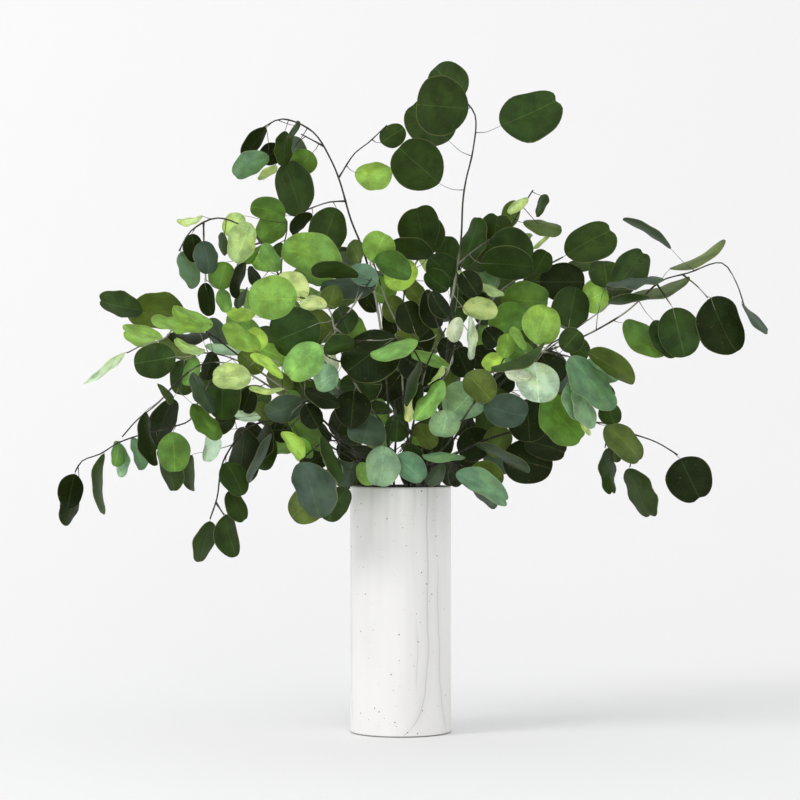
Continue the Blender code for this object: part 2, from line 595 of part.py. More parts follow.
class Taken:
    """The room that is already taken, as closed shapes with their boxes."""

    def __init__(self):
        self.shapes = []

    def add(self, owner, shape, shell):
        low = [min(p[k] for p in shape) for k in range(3)]
        high = [max(p[k] for p in shape) for k in range(3)]
        self.shapes.append((owner, low, high, BVHTree.FromPolygons(shape, shell)))

    def hit(self, leaf, owner):
        """Whether a leaf meets what is here. It may start on its own branch's wood."""
        whole, bare = thick_blade(leaf, LEAF_ROOM), thick_blade(leaf, LEAF_ROOM, stalk=False)
        low = [min(p[k] for p in whole[0]) for k in range(3)]
        high = [max(p[k] for p in whole[0]) for k in range(3)]
        trees = BVHTree.FromPolygons(*whole), BVHTree.FromPolygons(*bare)
        for name, other_low, other_high, other in self.shapes:
            if any(low[k] > other_high[k] or high[k] < other_low[k] for k in range(3)):
                continue
            if trees[name == owner + WOOD].overlap(other):
                return name
        return None


def vase_room():
    """The vase as a closed drum a little larger than it is, which no leaf enters."""
    turns = [math.tau * k / DRUM_SIDES for k in range(DRUM_SIDES)]
    out = VASE_ACROSS / 2 + DRUM_MORE
    ends = (-DRUM_MORE, VASE_HIGH + DRUM_MORE)
    shape = [Vector((out * math.cos(turn), out * math.sin(turn), z)) for z in ends for turn in turns]
    shape += [Vector((0, 0, z)) for z in ends]
    shell = []
    for k in range(DRUM_SIDES):
        after = (k + 1) % DRUM_SIDES
        top, after_top = k + DRUM_SIDES, after + DRUM_SIDES
        shell += [(k, after, after_top), (k, after_top, top)]
        shell += [(after, k, len(shape) - 2), (top, after_top, len(shape) - 1)]
    return shape, shell


def covered(leaf, fronts):
    """Whether leaves in front of this one hide it in the front view."""
    hidden = 0
    for t, s in HIDE_SPOTS:
        point = leaf_point(leaf, t, s)
        shrink = EYE_AWAY / (EYE_AWAY + point.y)
        x, z = point.x * shrink, (point.z - EYE_HEIGHT) * shrink
        for back, centre_x, centre_z, way_x, way_z, half_long, half_broad in fronts:
            if back > point.y:
                continue
            along = (x - centre_x) * way_x + (z - centre_z) * way_z
            aside = (x - centre_x) * way_z - (z - centre_z) * way_x
            if (along / half_long) ** 2 + (aside / half_broad) ** 2 < 1:
                hidden += 1
                break
    return hidden == len(HIDE_SPOTS)


def front_of(row, leaf):
    """What a leaf hides in the front view: its depth, and the middle, way and half sizes of an oval."""
    column, line, tip_column, tip_line, breadth, _ = row
    x0, x1 = (column - AXIS_COLUMN) * MM, (tip_column - AXIS_COLUMN) * MM
    z0, z1 = (EYE_ROW - line) * MM, (EYE_ROW - tip_line) * MM
    size = math.hypot(x1 - x0, z1 - z0)
    return (leaf["foot"].y, (x0 + x1) / 2, (z0 + z1) / 2, (x1 - x0) / size, (z1 - z0) / size,
            size / 2 + HIDE_MORE, breadth * MM / 2 + HIDE_MORE)


def first_clear(row, name, branch, taken, draw):
    """The leaf that shows like this row, set as little back or forward as clears all that is there."""
    state = draw.getstate()
    wood = buds(branch["ways"])
    for back in BACK_TRIES:
        for pick in ROOT_PICKS:
            for turned in (False, True):
                draw.setstate(state)
                leaf = read_leaf(row, wood, branch["free"], draw, turned, back, pick)
                if taken.hit(leaf, name) is None:
                    return leaf
    return None


def hidden_leaf(bud, turn, name, ways, taken, fronts, draw):
    """A leaf that grows from this bud where the front view doesn't show it, or None without room."""
    ends = [(one, other) for way in ways for one, other in zip(way, way[1:])]
    one, other = min(ends, key=lambda pair: ((pair[0] + pair[1]) / 2 - bud).length)
    along = (other - one).normalized()
    for attempt in range(FILL_TRIES):
        spread = draw.uniform(*FILL_SPREADS)
        aside = Matrix.Rotation(turn + attempt * FILL_ASIDE, 3, along) @ along.orthogonal().normalized()
        out = (along * math.cos(spread) + aside * math.sin(spread)).normalized()
        foot = bud + out * draw.uniform(*FILL_STALKS)
        length = draw.uniform(*FILL_LENGTHS)
        tip = foot + (out - Vector((0, 0, draw.uniform(0, FILL_DROP)))).normalized() * length
        leaf = leaf_from(foot, tip, length * LEAF_BREADTH, bud, draw.uniform(*CUPS), draw.uniform(*BOWS))
        level = leaf["along"].cross(Vector((0, 0, 1)) + out * 0.6).normalized()
        leaf["across"] = Matrix.Rotation(draw.uniform(-FILL_ROLL, FILL_ROLL), 3, leaf["along"]) @ level
        if covered(leaf, fronts) and taken.hit(leaf, name) is None:
            return leaf
    return None


def laid_out():
    """Every branch with its ways and leaves: those that were read, then those that fill the back."""
    taken = Taken()
    taken.add("vase", *vase_room())
    laid = {}
    fronts = []
    for name, (ring, bearing, thick, route, twigs, _) in BRANCHES.items():
        ways = [stem_way(ring, bearing, route)]
        for twig in twigs:
            ways.append(twig_way(twig, ways))
        free = [bud for bud in buds(ways) if all((bud - way[0]).length > TWIG_ROOM for way in ways)]
        laid[name] = {"thick": thick * MM, "ways": ways, "free": free, "leaves": []}
        for k, way in enumerate(ways):
            shape = thick_way(way[1:] if k == 0 else way, TWIG_ROOM if k else STEM_ROOM)
            taken.add(name + WOOD, *shape)
    for name, (*_, rows) in BRANCHES.items():
        for number, row in enumerate(rows):
            draw = random.Random(f"{SEED} {name} {number}")
            leaf = first_clear(row, name, laid[name], taken, draw)
            if leaf is None:
                continue
            taken.add(name, *thick_blade(leaf, LEAF_ROOM))
            laid[name]["leaves"].append(leaf)
            laid[name]["free"].remove(leaf["root"])
            fronts.append(front_of(row, leaf))
    for name in FILLED:
        draw = random.Random(f"{SEED} {name}")
        turn = 0
        for bud in laid[name]["free"][::FILLED[name]]:
            turn += FILL_TURN
            leaf = hidden_leaf(bud, turn, name, laid[name]["ways"], taken, fronts, draw)
            if leaf:
                taken.add(name, *thick_blade(leaf, LEAF_ROOM))
                laid[name]["leaves"].append(leaf)
    return laid


def clear_scene():
    for thing in list(bpy.data.objects):
        bpy.data.objects.remove(thing, do_unlink=True)


def new_collection(name):
    group = bpy.data.collections.new(name)
    bpy.context.scene.collection.children.link(group)
    return group


def principled(name, colour, roughness, sheen=0.0):
    """A plain shader with this colour and roughness."""
    material = bpy.data.materials.new(name)
    material.use_nodes = True
    shader = material.node_tree.nodes["Principled BSDF"]
    shader.inputs["Base Color"].default_value = (*colour, 1)
    shader.inputs["Roughness"].default_value = roughness
    shader.inputs["Metallic"].default_value = 0.0
    shader.inputs["Sheen Weight"].default_value = sheen
    return material


def mesh_object(name, points, faces, group):
    mesh = bpy.data.meshes.new(name)
    mesh.from_pydata([tuple(point) for point in points], [], faces)
    mesh.update()
    thing = bpy.data.objects.new(name, mesh)
    group.objects.link(thing)
    return thing


def wood(name, points, radii, group):
    """A stem or twig: a tapering curve with filled ends, made a closed mesh so that it can be joined."""
    curve = bpy.data.curves.new(name, "CURVE")
    curve.dimensions = "3D"
    curve.bevel_depth = 1.0
    curve.bevel_resolution = 0
    curve.use_fill_caps = True
    curve.twist_mode = "MINIMUM"
    spline = curve.splines.new("POLY")
    spline.points.add(len(points) - 1)
    for spot, point, radius in zip(spline.points, points, radii):
        spot.co = (*point, 1)
        spot.radius = radius
    guide = bpy.data.objects.new(name + "_guide", curve)
    group.objects.link(guide)
    bpy.context.view_layer.update()
    mesh = bpy.data.meshes.new_from_object(guide.evaluated_get(bpy.context.evaluated_depsgraph_get()))
    closed = bmesh.new()
    closed.from_mesh(mesh)
    bmesh.ops.remove_doubles(closed, verts=closed.verts, dist=WELD)
    bmesh.ops.recalc_face_normals(closed, faces=closed.faces)
    closed.to_mesh(mesh)
    closed.free()
    thing = bpy.data.objects.new(name, mesh)
    thing.matrix_world = guide.matrix_world
    group.objects.link(thing)
    bpy.data.objects.remove(guide, do_unlink=True)
    return thing


def leaf_object(name, leaf, group):
    """A leaf with its stalk: a cupped face with few sides, thickened alike both ways."""
    sides = SIDES_BROAD if leaf["length"] > BROAD_LEAF else SIDES_SMALL
    ribbed = leaf["length"] > RIBBED_LEAF
    thing = mesh_object(name, *closed_blade(*blade_faces(leaf, sides, ribbed), BLADE_THICK / 2), group)
    closed = bmesh.new()
    closed.from_mesh(thing.data)
    bmesh.ops.remove_doubles(closed, verts=closed.verts, dist=WELD)
    closed.to_mesh(thing.data)
    closed.free()
    return thing


def tapered(count, start, end):
    """The radii of count points from start to end, which fall fastest at the start."""
    return [start + (end - start) * (k / max(1, count - 1)) ** TAPER for k in range(count)]


def leafy_stem(name, branch, group, bark):
    """One branch: its stem, twigs and leaves joined into one body."""
    loose = new_collection(name + "_pieces")
    loose.hide_render = True
    ways = branch["ways"]
    stem = wood(name, ways[0], tapered(len(ways[0]), branch["thick"] / 2, STEM_TIP), group)
    for number, way in enumerate(ways[1:], 1):
        wood(f"{name}_twig_{number}", way, tapered(len(way), TWIG_ROOT, TWIG_TIP), loose)
    for number, leaf in enumerate(branch["leaves"]):
        leaf_object(f"{name}_leaf_{number}", leaf, loose)
        if bent_back(leaf):
            ends = [leaf["root"], leaf["foot"] + leaf["along"] * STALK_SUNK]
            wood(f"{name}_stalk_{number}", ends, [STALK_HALF, STALK_HALF], loose)
    join = stem.modifiers.new("joined", "BOOLEAN")
    join.operation = "UNION"
    join.operand_type = "COLLECTION"
    join.collection = loose
    join.solver = "EXACT"
    bpy.context.view_layer.objects.active = stem
    bpy.ops.object.modifier_apply(modifier=join.name)
    for thing in list(loose.objects):
        bpy.data.objects.remove(thing, do_unlink=True)
    bpy.data.collections.remove(loose)
    stem.data.materials.clear()
    stem.data.materials.append(bark)
    return stem


def vase(group, glaze):
    """The cylinder vase, turned: a straight wall, a flat floor and softened edges."""
    out = VASE_ACROSS / 2
    inside = out - VASE_WALL
    top = VASE_HIGH
    rim = VASE_WALL / 2
    high = rim * LIP_FLAT
    lip = [(out - rim + rim * math.cos(turn), top - high + high * math.sin(turn))
           for turn in [math.radians(degrees) for degrees in (0, 45, 90, 135, 180)]]
    inner = FOOT_ROUND * 0.3
    down = [(out, FOOT_ROUND), (out - inner, inner), (out - FOOT_ROUND, 0), (0, 0)]
    line = [(0, VASE_FLOOR), (inside, VASE_FLOOR)] + list(reversed(lip)) + down
    mesh = bpy.data.meshes.new("vase")
    mesh.from_pydata([(r, 0, z) for r, z in line], [(k, k + 1) for k in range(len(line) - 1)], [])
    thing = bpy.data.objects.new("vase", mesh)
    group.objects.link(thing)
    turn = thing.modifiers.new("turned", "SCREW")
    turn.steps = turn.render_steps = VASE_SIDES
    turn.use_merge_vertices = True
    turn.merge_threshold = WELD
    turn.use_smooth_shade = True
    thing.data.materials.append(glaze)
    return thing


def water(group, branches, clear_water):
    """The water in the vase, with a plain hole round each stem."""
    deep = WATER_TOP - VASE_FLOOR - WATER_GAP
    out = VASE_ACROSS / 2 - VASE_WALL - WATER_GAP * 2
    place = (0, 0, VASE_FLOOR + WATER_GAP + deep / 2)
    bpy.ops.mesh.primitive_cylinder_add(vertices=VASE_SIDES, radius=out, depth=deep, location=place)
    thing = bpy.context.object
    thing.name = "water"
    for owner in list(thing.users_collection):
        owner.objects.unlink(thing)
    group.objects.link(thing)
    holes = new_collection("stem_holes")
    holes.hide_render = True
    for name, branch in branches.items():
        foot, mouth = branch["ways"][0][:2]
        way = (mouth - foot).normalized()
        ends = [foot - way * HOLE_BELOW, mouth]
        wide = (branch["thick"] / 2 + HOLE_GAP) * HOLE_CORNERS
        hole = wood(name + "_hole", ends, [wide, wide], holes)
        hole.hide_render = True
        hole.display_type = "WIRE"
    cut = thing.modifiers.new("holes", "BOOLEAN")
    cut.operation = "DIFFERENCE"
    cut.operand_type = "COLLECTION"
    cut.collection = holes
    cut.solver = "EXACT"
    bpy.context.view_layer.objects.active = thing
    bpy.ops.object.modifier_apply(modifier=cut.name)
    for hole in list(holes.objects):
        bpy.data.objects.remove(hole, do_unlink=True)
    bpy.data.collections.remove(holes)
    thing.data.materials.clear()
    thing.data.materials.append(clear_water)
    return thing


def main():
    clear_scene()
    group = new_collection("eucalyptus_in_vase")
    glaze = principled("glazed_stoneware", (0.80, 0.80, 0.79), 0.35)
    leaf_green = principled("eucalyptus_leaf", (0.10, 0.17, 0.09), 0.55)
    clear_water = principled("water", (0.75, 0.85, 0.85), 0.05)
    branches = laid_out()
    vase(group, glaze)
    water(group, branches, clear_water)
    for name, branch in branches.items():
        leafy_stem(name, branch, group, leaf_green)


main()
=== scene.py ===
"""The looks of a bunch of round-leaved eucalyptus branches in a speckled, glazed cylinder vase.

Every leaf, twig and stem lies where the same reading of the front view puts it in the solids. Here each gets
its true outline, its waved margin, its ribs and veins, and its own green, in which the palest greens hold
painted light and the darkest painted shade, and small inner leaves join them.
"""

import math
import random

import bpy
from mathutils import Matrix, Vector
from mathutils.bvhtree import BVHTree
from mathutils.geometry import intersect_point_line


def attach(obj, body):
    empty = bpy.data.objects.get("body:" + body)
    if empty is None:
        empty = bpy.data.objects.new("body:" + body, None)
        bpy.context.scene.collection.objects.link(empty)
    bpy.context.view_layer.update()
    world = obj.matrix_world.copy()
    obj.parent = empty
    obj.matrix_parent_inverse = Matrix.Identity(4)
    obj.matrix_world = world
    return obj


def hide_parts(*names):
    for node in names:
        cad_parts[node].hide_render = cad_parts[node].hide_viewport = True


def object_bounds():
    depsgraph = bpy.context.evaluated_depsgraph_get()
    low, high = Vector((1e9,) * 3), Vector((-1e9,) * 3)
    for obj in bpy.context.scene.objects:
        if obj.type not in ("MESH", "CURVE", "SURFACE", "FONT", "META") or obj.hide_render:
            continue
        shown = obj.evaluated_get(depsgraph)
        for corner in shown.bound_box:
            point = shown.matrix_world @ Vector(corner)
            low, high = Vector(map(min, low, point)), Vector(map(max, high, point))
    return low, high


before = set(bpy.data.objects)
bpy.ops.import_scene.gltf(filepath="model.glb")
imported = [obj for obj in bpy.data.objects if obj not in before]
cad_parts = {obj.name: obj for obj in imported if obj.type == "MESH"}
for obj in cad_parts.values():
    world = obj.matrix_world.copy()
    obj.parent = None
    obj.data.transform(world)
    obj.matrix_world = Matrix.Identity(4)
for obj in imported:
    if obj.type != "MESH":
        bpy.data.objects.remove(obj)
cad_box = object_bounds()

MM = 0.001

# The vase
VASE_ACROSS = 0.101
VASE_HIGH = 0.2456
VASE_WALL = 0.005
VASE_FLOOR = 0.008

# The front view that places were read in: eye height and distance, and where the vase's axis shows
AXIS_COLUMN = 400.6
EYE_ROW = 400
EYE_HEIGHT = 0.3315
EYE_AWAY = 2.68
EYE_ASIDE = -0.0006
LENS = 120.6

# The stems: where they stand in the vase and pass its mouth, by ring (distances from the axis)
STEM_FOOT = VASE_FLOOR + 0.0005
MOUTH_TOP = VASE_HIGH + 0.014
RINGS = {"inner": (0.0115, 0.0165), "outer": (0.0285, 0.0385)}
STEM_STEP = 0.035
TWIG_STEP = 0.022
STEP_LEAST = 0.6

# The leaves
LEAF_BREADTH = 0.88
LEAF_LEAST = 0.026
BLADE_THICK = 0.0008
STALK_HALF = 0.0007
CUPS = (0.04, 0.16)
BOWS = (-0.08, 0.06)
BREADTH_LOOSE = (0.94, 1.06)
LEAN_LOOSE = 0.2
RIB_AT = 0.45
BROAD_LEAST = 0.3

# Room kept clear round what is laid out
STEM_ROOM = 0.0036
TWIG_ROOM = 0.0026
TWIG_CLEAR = 0.0055
LEAF_ROOM = 0.0011
BLADE_GROWN = 1.05
BACK_TRIES = [0, 4, -4, 8, -8, 12, -12, 17, -17, 23, -23, 30, -30, 38, -38, 46, -46, 56, 66]
WOOD = " wood"
BUD_PARTS = (0.2, 0.5, 0.8)
BENT = 0.1
STALK_LEAST = 0.004
STALK_CHECKED = 0.85
ASIDE_COST = 0.9
POOR_COST = 0.03
ROOT_PICKS = (0, 1, 3)
DRUM_SIDES = 24
DRUM_MORE = 0.0015

# How often a leaf's upper face shows: for leaves below and above the eye
UPWARD_BELOW = 0.8
UPWARD_ABOVE = 0.3

# The leaves that no front view shows
FILLED = {"back_left": 2, "back_mid": 2, "back_right": 2, "upper_centre": 3, "upper_right": 3, "left": 3}
FILL_TRIES = 7
FILL_LENGTHS = (0.034, 0.052)
FILL_STALKS = (0.012, 0.026)
FILL_SPREADS = (0.7, 1.3)
FILL_TURN = 2.4
FILL_ASIDE = 0.9
FILL_DROP = 0.5
FILL_ROLL = 0.9
HIDE_SPOTS = [(0.5, 0), (0.15, 0), (0.95, 0), (0.5, 0.9), (0.5, -0.9)]
HIDE_MORE = 0.002
SEED = 11

# How each branch's leaves look, a letter each in the order of its rows; a capital has a notched tip
LOOKS = {
    "front_left_low": "soddtkb",
    "centre_left": "fdbkddlolfdstwskkmyfbykdg",
    "centre_front": "gdlkfpffokkkgstdddo",
    "front_right": "iwgpgtmdddyogsbboddb",
    "front_low_right": "Tostsk",
    "crown": "ddddDdddDplwwdkd",
    "low_left": "ddddkskdididk",
    "left_lower": "kkdmgtkkdmdmsdpkyp",
    "upper_left": "pppkstdmfdmmkkdfykmd",
    "left": "Doibbbddpimkkkoo",
    "arch": "tkkdsmpdmdkdbod",
    "upper_centre": "dddbmypokkk",
    "upper_right": "pdoDdkmmkktpkkk",
    "right": "kdmdsosdbdDdoskddmk",
    "right_lower": "KDDoddkkkodk",
    "back_mid": "kk",
}

# Small inner leaves in the shade of the others, with rows like those of a branch: foot and tip (column, row),
# breadth in pixels, and how each looks. They grow from a branch that passes near and has room.
INNER = [
    (336, 339, 306, 310, 28, "o"), (356, 452, 342, 488, 24, "s"), (196, 358, 158, 342, 22, "o"),
    (320, 398, 288, 382, 24, "d"), (447, 272, 447, 236, 26, "d"), (288, 362, 258, 347, 20, "b"),
    (424, 392, 434, 362, 24, "k"), (330, 452, 300, 468, 22, "k"), (334, 280, 292, 274, 20, "m"),
    (226, 350, 210, 318, 20, "s"), (222, 350, 190, 338, 16, "m"), (424, 304, 404, 280, 20, "o"),
    (396, 344, 388, 310, 20, "k"), (524, 292, 546, 268, 22, "d"), (456, 328, 458, 296, 18, "d"),
    (236, 420, 206, 428, 18, "k"), (584, 362, 620, 378, 20, "t"), (446, 392, 454, 362, 20, "o"),
    (158, 346, 124, 334, 12, "b"), (600, 296, 636, 286, 14, "d"), (440, 448, 452, 486, 20, "k"),
    (404, 420, 396, 388, 20, "k"), (376, 312, 360, 290, 18, "k"), (262, 232, 246, 210, 18, "m"),
    (272, 424, 254, 404, 18, "o"), (502, 230, 518, 202, 18, "o"), (478, 352, 482, 322, 16, "m"),
    (484, 456, 508, 472, 16, "s"), (566, 268, 596, 262, 14, "d"), (562, 368, 566, 398, 16, "s"),
    (362, 446, 334, 436, 16, "k"), (252, 314, 242, 288, 14, "m"), (456, 304, 458, 278, 16, "d"),
    (440, 458, 446, 430, 20, "k"), (358, 458, 336, 446, 18, "k"), (270, 272, 252, 254, 16, "b"),
    (210, 392, 196, 372, 18, "d"), (452, 460, 480, 466, 14, "k"), (330, 440, 314, 424, 16, "k"),
    (410, 456, 420, 432, 18, "m"), (368, 474, 340, 484, 20, "k"), (450, 484, 470, 468, 18, "k"),
    (404, 456, 388, 430, 22, "k"), (424, 464, 438, 436, 20, "k"), (472, 440, 458, 410, 22, "k"),
    (452, 420, 440, 396, 18, "k"), (362, 346, 352, 316, 20, "m"), (440, 352, 434, 324, 16, "o"),
    (266, 440, 246, 424, 14, "k"), (414, 478, 396, 456, 18, "k"), (440, 476, 424, 456, 16, "k"),
]
INNER_BACKS = range(0, 130, 7)
INNER_BRANCHES = 9
INNER_STALK = 0.065
INNER_DROP = 0.002

# The finer leaves: rows of faces along a blade and across it, and how a real blade differs from the plain one
BLADE_LONG = 18
BLADE_WIDE = 4
BLADE_SHEET = 0.0005
LOOKS_SEED = 5
UV_SPAN = 0.1
FORM_LOOSE = {
    "base": (0.98, 1.25), "tip": (0.74, 0.92), "oval": (-0.07, 0.13), "lop": (-0.05, 0.05),
    "wave": (0.01, 0.045), "waves": (1.2, 2.6), "phase": (0, math.tau), "fold": (-0.02, 0.10),
    "curl": (-0.05, 0.07), "twist": (-0.12, 0.12),
}
NOTCH_DEEP = (0.05, 0.08)
NOTCH_SLIGHT = (0, 0, 0.012, 0.025)
TIP_FROM = 0.75

# Each green, by its letter: its colour, how waxy its bloom is, and how much light it lets through. Besides
# the real spread of eucalyptus greens, the colours hold painted light in the palest ones (l, w, i, y, p) and
# painted shade in the darkest (k)
GREENS_AND_PAINTED_LIGHT = {
    "d": ("#273d17", 0.01, 0.05),
    "k": ("#16220a", 0.0, 0.02),
    "m": ("#5a853b", 0.03, 0.16),
    "f": ("#80b35c", 0.04, 0.22),
    "b": ("#93c45f", 0.03, 0.34),
    "y": ("#c0ee6e", 0.02, 0.44),
    "l": ("#f2ffb8", 0.02, 0.48),
    "p": ("#d2ec9e", 0.08, 0.30),
    "g": ("#90b98c", 0.25, 0.14),
    "i": ("#dcfde2", 0.08, 0.22),
    "t": ("#5b8561", 0.20, 0.12),
    "s": ("#304333", 0.10, 0.05),
    "o": ("#4f622b", 0.03, 0.12),
    "w": ("#ecfce6", 0.02, 0.30),
}
BACK_GREENS = "ddddmmks"

# How far single leaves differ from their green, and the room left inside the box of the solids
LIGHT_LOOSE = (0.86, 1.16)
WARM_LOOSE = 0.06
BLOOM_LOOSE = (0.5, 1.4)
BOX_ROOM = 0.0004
BOX_SHRINK = 0.985

# Veins of a leaf: millimetres from one side vein to the next
VEIN_APART = 5

# Settings that many shader nodes share
TIMES = {"operation": "MULTIPLY"}
PLUS = {"operation": "ADD"}
SMOOTH = {"interpolation_type": "SMOOTHSTEP", "give": "Result"}
MIXED = {"data_type": "RGBA", "clamp_factor": True, "give": 2}
TINTED = {"data_type": "RGBA", "clamp_factor": True, "give": 2, "blend_type": "MULTIPLY"}

# The finer wood
WOOD_STEP = 0.007
STALK_STEP = 0.007
STEM_AT_TIP = 0.0007
TWIG_AT_ROOT = 0.0010
TWIG_AT_TIP = 0.0006
WOOD_TAPER = 0.5
STALK_AT_ROOT = 0.00055
RIB_AT_TIP = 0.00015
RIB_UNDER = 0.0002
RIB_SPOTS = (0.1, 0.22)
KNOT_SWELL = 0.28
KNOT_REACH = 0.003

# The finer vase. Its crazes: millimetres round from the front, from and to which height, how far it swings
# aside at the foot and up to about which height, and how wide it is. Its grey runs below the rim: millimetres
# round from the front, half as wide, and down to which height. Its specks: cells this many millimetres wide,
# of which those above this share hold a speck this wide against the cell
VASE_STEPS = 128
FLOOR_ROUND = 0.004
FOOT_SOFT = 0.002
# How high the painted shade at the foot reaches
FOOT_SHADE_HIGH = 0.0016
CRAZES = [
    (28, 0.0, 0.30, -28, 0.02, 1.8), (41, 0.0, 0.19, 16, 0.035, 1.5), (16, 0.045, 0.13, 0, 0.02, 0.6),
    (-68, 0.01, 0.23, 10, 0.03, 1.0), (96, 0.0, 0.25, -12, 0.03, 0.9), (128, 0.0, 0.14, 9, 0.02, 0.8),
    (-118, 0.02, 0.26, -9, 0.03, 0.9),
]
SPECKS = ((8, 0.095, 0.95, "#2b2927"), (6, 0.085, 0.96, "#6b6966"), (4, 0.095, 0.96, "#a09e9b"))
RUNS = [
    (-30, 5, 0.16), (-13, 5, 0.15), (-4, 6, 0.17), (37, 6, 0.13), (14, 3, 0.20), (-58, 7, 0.17),
    (75, 8, 0.15), (110, 6, 0.18), (-95, 7, 0.16), (-135, 9, 0.17), (150, 5, 0.19),
]

# The studio: a white sweep, a soft box at the front left and above, a weaker one from the right
SWEEP_WHITE = "#fcfcfd"
SWEEP_FLAT = 0.7
SWEEP_BEND = 2.2
SWEEP_HALF = 5.0
ROOM_LIGHT = 0.73
SOFT_BOXES = [
    ("key", (-4.3, -2.6, 3.7), 2.2, 106, (1, 0.995, 0.985)),
    ("front", (0.9, -4.4, 1.5), 1.8, 22, (1, 1, 1)),
]
